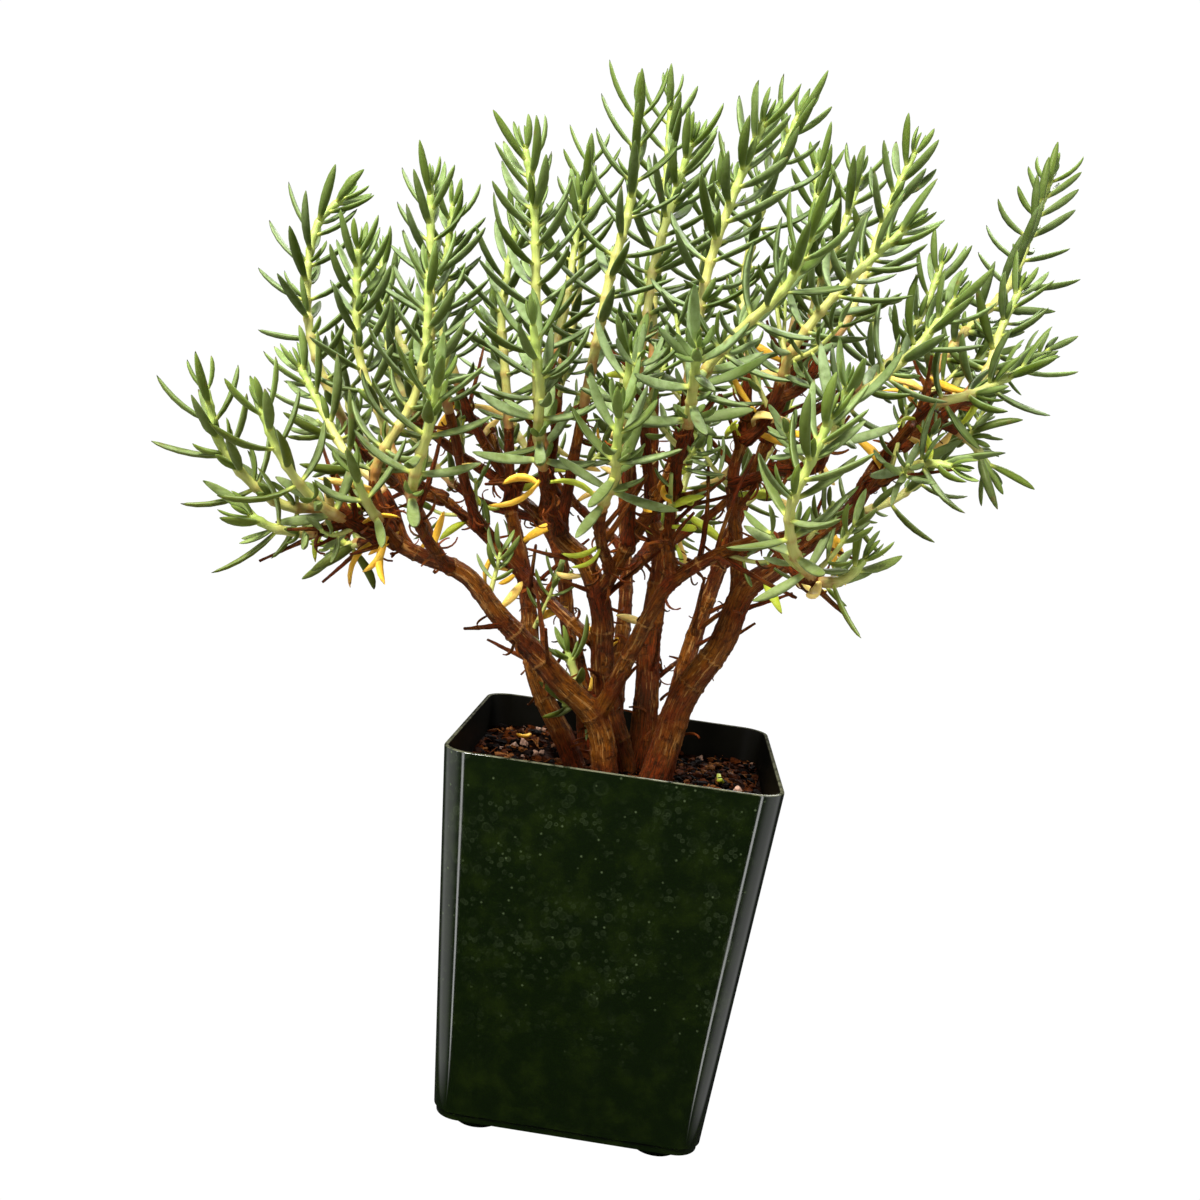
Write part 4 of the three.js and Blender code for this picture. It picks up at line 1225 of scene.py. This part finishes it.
class BeadBox:  # spheres that stand for what is already placed
    def __init__(self):
        self.points = np.zeros((40000, 3))
        self.radii = np.zeros(40000)
        self.owners = np.zeros(40000, dtype=int)
        self.inner = np.zeros(40000, dtype=bool)
        self.count = 0

    def add(self, points, radii, owner, inner):
        end = self.count + len(points)
        self.points[self.count:end] = points
        self.radii[self.count:end] = radii
        self.owners[self.count:end] = owner
        self.inner[self.count:end] = inner
        self.count = end

    def addAlong(self, path, start, end, radii, owner):
        count = math.ceil((end - start) / beadStep)
        parts = np.arange(count + 1) / count
        points = [pathAt(path, lerp(start, end, part))[0] for part in parts]
        self.add(points, lerp(*radii, parts), owner, True)

    def isClear(self, points, radii, owner, inner):
        away = self.points[:self.count] - points[2]
        near = np.nonzero((away * away).sum(1) < nearLeaf ** 2)[0]
        own = self.owners[near] == owner
        touching = radii[:, None] + self.radii[near][None, :]
        reach = np.where(own[None, :], touching * ownReach, touching + beadMargin)
        gaps = points[:, None, :] - self.points[near][None, :, :]
        clear = (gaps * gaps).sum(2) >= reach * reach
        excused = own[None, :] & (inner[:, None] | self.inner[near][None, :])
        return bool((clear | excused).all())

    def take(self, leaf, owner, thick=1.0):  # adds the spheres of a leaf, if they are clear of the others
        parts, radii = leafBeads.T
        points = np.array([leafPoint(leaf, part) for part in parts])
        clear = self.isClear(points, radii * thick, owner, parts < rootPart)
        if clear:
            self.add(points, radii * thick, owner, parts < rootPart)
        return clear


def placeLeaves():
    beads = BeadBox()
    for radii, path in limbPaths:
        beads.addAlong(path, 0, path["length"], radii, -1)
    for index, (path, join) in enumerate(shootPaths):
        beads.addAlong(path, 0, join, woodSizes["twigRadii"], -1)
        beads.addAlong(path, join, path["length"], leafSizes["stemRadii"], index)
    placed = [[] for _ in shootPaths]
    everyPair = [leafPairs(index) for index in range(len(shootPaths))]
    for wanted in (True, False):  # first the pairs that are in the solids, in the same order as there
        for index, (path, _) in enumerate(shootPaths):
            for kept, sites in everyPair[index]:
                for site in sites if kept == wanted else []:
                    for attempt in attempts:
                        leaf = placeLeaf(path, site, *attempt)
                        if beads.take(leaf, index):
                            placed[index].append(leaf)
                            break
    return placed, everyPair, beads


def modelLeaf():  # one leaf, one long and one each way to its edge, its face towards +Y
    outline = leafSizes["outline"]
    part, width, thickness = outline[0]
    bpy.ops.mesh.primitive_circle_add(vertices=8, radius=1, fill_type="NGON")
    leaf = bpy.context.active_object
    startEditing(leaf)
    bpy.ops.mesh.select_all(action="SELECT")
    bpy.ops.transform.resize(value=(width, thickness * 0.5, 1), center_override=(0, 0, 0))
    for nextPart, nextWidth, nextThickness in outline[1:]:
        bpy.ops.mesh.extrude_region_move(TRANSFORM_OT_translate={"value": (0, 0, nextPart - part)})
        grow = (nextWidth / width, nextThickness / thickness, 1)
        bpy.ops.transform.resize(value=grow, center_override=(0, 0, nextPart))
        part, width, thickness = nextPart, nextWidth, nextThickness
    bpy.ops.mesh.extrude_region_move(TRANSFORM_OT_translate={"value": (0, 0, 1 - part)})
    bpy.ops.mesh.merge(type="CENTER")
    turnFaces(inside=False)
    stopEditing()
    points = readPoints(leaf.data)
    facing = np.sign(points[:, 1]) * (np.abs(points[:, 1]) > 0.01)
    rim = np.abs(points[:, 0])
    channel = 0.16 * np.clip(points[:, 2] * 3, 0, 1) * (rim < 0.2)
    points[:, 1] = np.where(facing > 0, points[:, 1] * 0.7 - channel, points[:, 1] * 1.3)
    writePoints(leaf.data, points)
    setValues(leaf.data, "part", points[:, 2])
    setValues(leaf.data, "facing", facing)
    setValues(leaf.data, "rim", np.abs(facing) < 0.5)
    smoothShade(leaf)
    return leaf


def growLeaf(master, placed, young, tint, bend=1.0, slim=1.0):
    leaf = copyOf(master, "leaf")
    shape = readPoints(leaf.data)
    part = shape[:, 2]
    length = placed["length"]
    curve = leafSizes["bend"] * bend
    twist = (tint - 0.5) * leafSizes["twist"] * part
    sway = (scatter(int(tint * 997)) - 0.5) * leafSizes["sway"] * length
    wide = shape[:, 0] * leafSizes["width"] / 2 * slim
    thick = shape[:, 1] * leafSizes["thickness"] * slim
    acrossPart = wide * np.cos(twist) - thick * np.sin(twist)
    frontPart = wide * np.sin(twist) + thick * np.cos(twist)
    frontAt = placed["front"] - np.outer(curve * (2 * part - 1), placed["along"])
    frontAt /= np.linalg.norm(frontAt, axis=1)[:, None]
    sag = part * part - part
    points = (
        placed["root"]
        + np.outer(length * part, placed["along"])
        + np.outer(curve * length * sag, placed["front"])
        + np.outer(acrossPart + sway * sag, placed["across"])
        + frontAt * frontPart[:, None]
    )
    writePoints(leaf.data, points * mm)
    setValues(leaf.data, "young", young)
    setValues(leaf.data, "tint", tint)
    return leaf


def buildLeafLook():
    look, tree, place = newLook(
        "grey green leaf", Specular_IOR_Level=0.25, Specular_Tint=leafLook["sheen"],
        Subsurface_Weight=0.12, Subsurface_Radius=(0.4, 1.0, 0.2), Subsurface_Scale=0.0009,
    )
    part = readValue(tree, "part")
    tint = readValue(tree, "tint")
    facing = ramp(tree, readValue(tree, "facing"), -0.4, 0.6)
    cloud = useGroup(tree, mottle, place, 260, 0.3, 0.75)
    waxy = times(tree, plus(tree, cloud, tint), ramp(tree, facing, 0, 1, 0.14, 0.42))
    blotches = times(tree, useGroup(tree, mottle, place, 800, 0.42, 0.68), 0.4)
    dark = maths(tree, "MAXIMUM", blotches, ramp(tree, tint, 0.4, 0, 0, 0.5))
    height = addNode(tree, "SeparateXYZ", {0: place}).outputs["Z"]
    old = times(tree, useGroup(tree, spots, place, 150, 0, 0.13), 0.6)
    burnt = times(tree, ramp(tree, part, 0.93, 1), ramp(tree, tint, 0.7, 0.9, 0, 0.7))
    colour = layer(
        tree, leafLook["back"],
        (facing, leafLook["face"]),
        (waxy, leafLook["bloom"]),
        (dark, leafLook["back"]),
        (ramp(tree, height, *leafLook["lowLevels"], 0, 0.4), leafLook["low"]),
        (ramp(tree, readValue(tree, "rim"), 0.7, 1, 0, 0.5), leafLook["bloom"]),
        (times(tree, readValue(tree, "young"), 0.4), leafLook["young"]),
        (ramp(tree, part, 0.2, 0.05, 0, 0.85), leafLook["base"]),
        (maths(tree, "MAXIMUM", old, burnt), leafLook["scar"]),
    )
    pores = cloudy(tree, place, 2400, 3)
    return finishLook(look, colour, ramp(tree, cloud, 0, 1, 0.42, 0.62), pores, 0.25, 0.0002)


def buildStemLook():
    look, tree, place = newLook(
        "pale green stem", Specular_IOR_Level=0.5,
        Subsurface_Weight=0.1, Subsurface_Radius=(1.0, 1.0, 0.3), Subsurface_Scale=0.0008,
    )
    part = readValue(tree, "part")
    lines = useGroup(tree, grain, readValue(tree, "flow", "Vector"), 3)
    patches = times(tree, useGroup(tree, mottle, place, 300, 0.35, 0.7), 0.16)
    marks = times(tree, readValue(tree, "ring"), ramp(tree, part, 0.75, 0.1, 0, 0.75))
    colour = layer(
        tree, leafLook["stemCream"],
        (ramp(tree, part, 0.35, 0.95), leafLook["stemTip"]),
        (ramp(tree, minus(tree, part, patches), 0.2, -0.05), leafLook["stemTan"]),
        (marks, leafLook["stemTan"]),
        (times(tree, lines, 0.22), leafLook["young"]),
    )
    return finishLook(look, colour, ramp(tree, lines, 0, 1, 0.4, 0.6), lines, 0.3, 0.0002)


def dressStem(stem, look, parts, rings, flow):
    setValues(stem.data, "part", parts)
    setValues(stem.data, "ring", rings)
    setValues(stem.data, "flow", flow, "FLOAT_VECTOR")
    stem.data.materials.append(look)
    smoothShade(stem)


def makeStem(index, pairs, look):
    path, join = shootPaths[index]
    start = join - 0.1
    distances, frames = stopsAlong(path, start, path["length"], leafSizes["stemStep"])
    parts = (distances - start) / (path["length"] - start)
    rings = np.zeros(len(distances))
    for _, sites in pairs:
        near = np.exp(-((distances - sites[0]["distance"]) / leafSizes["nodeWidth"]) ** 2)
        rings = np.maximum(rings, near)
    radii = lerp(*leafSizes["stemRadii"], parts) * (1 + leafSizes["nodeSwell"] * rings)
    radii[-1] *= 0.4
    stem = tubeAlong("stem", [frame[0] for frame in frames], radii)
    stops, angles = ringsOf(stem, len(frames))
    flow = np.stack([np.cos(angles), np.sin(angles), distances[stops] * 0.1 + index], axis=1)
    dressStem(stem, look, parts[stops], rings[stops], flow)
    return stem


def makeTufts(master, beads, index, path, pairs):  # the smallest side shoots, two narrow leaves each
    grown = []
    for site in [site for _, sites in pairs for site in sites]:
        if dice.random() > leafLook["tufts"] or site["up"] > 0.85:
            continue
        for turned in (-1, 1):
            pitch = dice.uniform(*leafLook["tuftPitch"]) - lerp(*leafSizes["pitches"], site["up"] ** 1.4)
            size = dice.uniform(*leafLook["tuftSize"])
            small = dict(site, distance=site["distance"] + 0.7, size=size, lift=0)
            leaf = placeLeaf(path, small, turned * dice.uniform(*leafLook["tuftTurn"]), pitch)
            if beads.take(leaf, index, 0.5):
                grown.append(growLeaf(master, leaf, 0.5, dice.random(), dice.uniform(0.8, 2), 0.62))
    return grown


def makeFoliage():
    stemFinish = buildStemLook()
    master = modelLeaf()
    master.data.materials.append(buildLeafLook())
    placed, everyPair, beads = placeLeaves()
    total = 0
    for index, (path, _) in enumerate(shootPaths):
        leaves = []
        for leaf in placed[index]:
            tint = dice.random()
            young = max(0, leaf["up"] - 0.72) * 2.2
            slim = dice.uniform(0.86, 1.06) * lerp(1, 0.84, leaf["up"])
            leaves.append(growLeaf(master, leaf, young, tint, dice.uniform(0.3, 1.8), slim))
        leaves += makeTufts(master, beads, index, path, everyPair[index])
        for pair, (inward, length, pitch) in enumerate(leafSizes["budLeaves"], len(everyPair[index])):
            for partner in (0, 1):
                site = {
                    "distance": path["length"] - inward,
                    "up": 1,
                    "turn": faceTurn(index, pair, partner),
                    "size": length / leafSizes["lengths"][2],
                    "lift": 0,
                }
                leaf = placeLeaf(path, site, dice.uniform(-12, 12), pitch - leafSizes["pitches"][1])
                leaves.append(growLeaf(master, leaf, 0.8, dice.random(), 1.2, length / 10))
        total += len(leaves)
        stem = makeStem(index, everyPair[index], stemFinish)
        piece = joinAll([stem] + leaves, f"foliage_{index + 1:02d}")
        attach(piece, "root")
        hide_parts(f"leafy_stem_{index + 1:02d}")
    print("foliage made:", total, "leaves")
    makeSprigs(beads, stemFinish, master)
    makeDryLeaves(master)
    bpy.data.objects.remove(master)


# Side sprigs, dry leaves and shreds

looseLook = {
    "sprigs": 64,
    "sprigReach": (6, 13),
    "sprigLeaf": (4.5, 8.5),
    "sprigRadius": 0.55,
    "sprigStep": 0.8,
    "shreds": 620,
    "shredSize": (1.8, 4.8),
    "longShred": (4, 7),
    "shredLean": (0.2, 1.4),
    "dryLeaves": 95,
    "dryLength": (6.5, 11),
    "dryCurl": (2, 4),
    "fallenLength": (4, 7),
    "fallen": [(-18, -8), (-15, -18), (15, -19), (21, 4), (-20, 16), (2, 20)],  # on the soil
    "shredDark": (0.01, 0.002, 0.001),
    "shredBrown": (0.14, 0.022, 0.003),
    "gold": (0.85, 0.47, 0.03),
    "cream": (0.85, 0.62, 0.18),
    "lime": (0.45, 0.52, 0.03),
}


def makeSprig(number, beads, stemFinish, master):
    place, along, out, _ = spotOnTwig(0.45, 1.35) if number % 5 else spotOnLimb(0.5, 0.9)
    reach = dice.uniform(*looseLook["sprigReach"])
    heading = (out + along * 0.7 + np.array([0, 0, 0.35])) * reach
    path = makePath([place, place + heading * 0.45, place + heading * 0.8 + [0, 0, reach * 0.2]])
    distances, frames = stopsAlong(path, 0, path["length"], looseLook["sprigStep"])
    radii = looseLook["sprigRadius"] * lerp(1, 0.6, distances / path["length"])
    stem = tubeAlong("sprig", [frame[0] for frame in frames], radii, 1)
    stops, _ = ringsOf(stem, len(frames))
    parts = 0.25 + 0.6 * distances[stops] / path["length"]
    dressStem(stem, stemFinish, parts, 0, readPoints(stem.data) / mm)
    sprig = [stem]
    distance = 2.0
    pair = 0
    while distance < path["length"]:
        up = distance / path["length"]
        for partner in (0, 1):
            site = {
                "distance": distance,
                "up": lerp(0.35, 1, up),
                "turn": faceTurn(number, pair, partner),
                "size": dice.uniform(*looseLook["sprigLeaf"]) / 12,
                "lift": dice.uniform(-14, 14),
            }
            leaf = placeLeaf(path, site)
            if beads.take(leaf, 1000 + number, 0.8):
                slim = dice.uniform(0.5, 0.68)
                young = dice.choice([0, 0, 0.15, 0.5])
                sprig.append(growLeaf(master, leaf, young, dice.random(), dice.uniform(0.5, 1.6), slim))
        distance += lerp(2.4, 1.5, up)
        pair += 1
    return joinAll(sprig, "sprig")


def makeSprigs(beads, stemFinish, master):  # short young shoots low in the crown
    grown = [makeSprig(number, beads, stemFinish, master) for number in range(looseLook["sprigs"])]
    piece = joinAll(grown, "side_sprigs")
    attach(piece, "root")
    print("sprigs made:", len(piece.data.polygons), "faces")


def buildDryLook():
    look, tree, place = newLook(
        "dry and yellowed leaf", Specular_IOR_Level=0.4,
        Subsurface_Weight=0.15, Subsurface_Radius=(1.0, 0.6, 0.1), Subsurface_Scale=0.001,
    )
    tint = readValue(tree, "tint")
    end = ramp(tree, readValue(tree, "part"), 0.7, 1, 0.15, 0.9)
    colour = layer(
        tree, looseLook["gold"],
        (ramp(tree, tint, 0.3, 0.5), looseLook["cream"]),
        (ramp(tree, tint, 0.62, 0.7), looseLook["lime"]),
        (times(tree, useGroup(tree, mottle, place, 480, 0.56, 0.68), end), looseLook["shredBrown"]),
    )
    folds = useGroup(tree, mottle, place, 900, 0.3, 0.7)
    return finishLook(look, colour, ramp(tree, folds, 0, 1, 0.4, 0.65), folds, 0.4, 0.0003)


def makeDryLeaves(master):
    grown = []
    for number in range(looseLook["dryLeaves"]):
        place, along, out, radius = spotOnTwig(0.25, 1.05) if number % 3 else spotOnLimb(0.5, 0.95)
        heading = out + np.array([0, 0, dice.uniform(-0.9, 0.5)])
        heading = heading / np.linalg.norm(heading)
        front = np.cross(heading, along)
        front = front / np.linalg.norm(front)
        leaf = leafFrame(place + out * radius * 0.6, heading, front, dice.uniform(*looseLook["dryLength"]))
        curl = dice.choice([-1, 1]) * dice.uniform(*looseLook["dryCurl"])
        grown.append(growLeaf(master, leaf, 0, dice.random(), curl, dice.uniform(0.6, 0.95)))
    for x, y in looseLook["fallen"]:
        angle = anyAngle()
        place = np.array([x, y, soilHeight(x, y) + 1.3])
        heading = np.array([math.cos(angle), math.sin(angle), 0.1])
        leaf = leafFrame(place, heading, np.array([0, 0, 1.0]), dice.uniform(*looseLook["fallenLength"]))
        grown.append(growLeaf(master, leaf, 0, dice.random(), 2, 0.8))
    piece = joinAll(grown, "dry_leaves")
    finishPiece(piece, buildDryLook(), "foliage")


def buildShredLook():
    look, tree, place = newLook(
        "dead bark shreds", Specular_IOR_Level=0.25, Specular_Tint=woodLook["sheen"]
    )
    patches = useGroup(tree, mottle, place, 160, 0.4, 0.62)
    streaks = useGroup(tree, mottle, place, 900, 0.3, 0.7)
    colour = layer(
        tree, looseLook["shredDark"],
        (patches, looseLook["shredBrown"]),
        (times(tree, streaks, 0.3), woodLook["barkOlive"]),
    )
    return finishLook(look, colour, ramp(tree, streaks, 0, 1, 0.45, 0.8), streaks, 0.5, 0.0003)


def modelShred():  # a dead leaf base: a thin pointed strip, one long, curling over
    bpy.ops.mesh.primitive_grid_add(x_subdivisions=1, y_subdivisions=6, size=1)
    shred = bpy.context.active_object
    points = readPoints(shred.data)
    part = points[:, 1] + 0.5
    wide = 0.05 + 0.3 * part * (1 - part) * (1.3 - part)
    bend = part * 2.1
    curled = np.stack([points[:, 0] * wide, np.sin(bend) / 2.1, (1 - np.cos(bend)) / 2.1], axis=1)
    writePoints(shred.data, curled)
    applyModifier(shred, "SOLIDIFY", thickness=0.05, offset=0)
    smoothShade(shred, 40)
    return shred


def makeShreds():
    master = modelShred()
    grown = []
    for number in range(looseLook["shreds"]):
        place, along, out, radius = spotOnLimb(0.12, 0.98) if number % 5 < 2 else spotOnTwig(0.05, 1.0)
        size = dice.uniform(*looseLook["shredSize" if number % 4 else "longShred"])
        lean = dice.choice([-1, 1]) * dice.uniform(*looseLook["shredLean"])
        forward = Vector(out + along * lean + np.array([0, 0, -0.35])).normalized()
        upward = Vector(np.cross(out, along)) if number % 3 else Vector(along)
        across = forward.cross(upward).normalized()
        turn = Matrix((across, forward, across.cross(forward))).transposed().to_4x4()
        shred = copyOf(master, "shred")
        scale = Matrix.Diagonal((size * dice.uniform(0.6, 1.3), size, size * dice.choice([-1, 1]), 1))
        start = Vector(place + out * radius * 0.8) * mm
        shred.data.transform(Matrix.Translation(start) @ turn @ scale @ Matrix.Scale(mm, 4))
        if scale[2][2] < 0:
            shred.data.flip_normals()
        grown.append(shred)
    bpy.data.objects.remove(master)
    piece = joinAll(grown, "bark_shreds")
    finishPiece(piece, buildShredLook(), "bark")
    print("shreds made:", len(piece.data.polygons), "faces")


makeFoliage()
makeShreds()
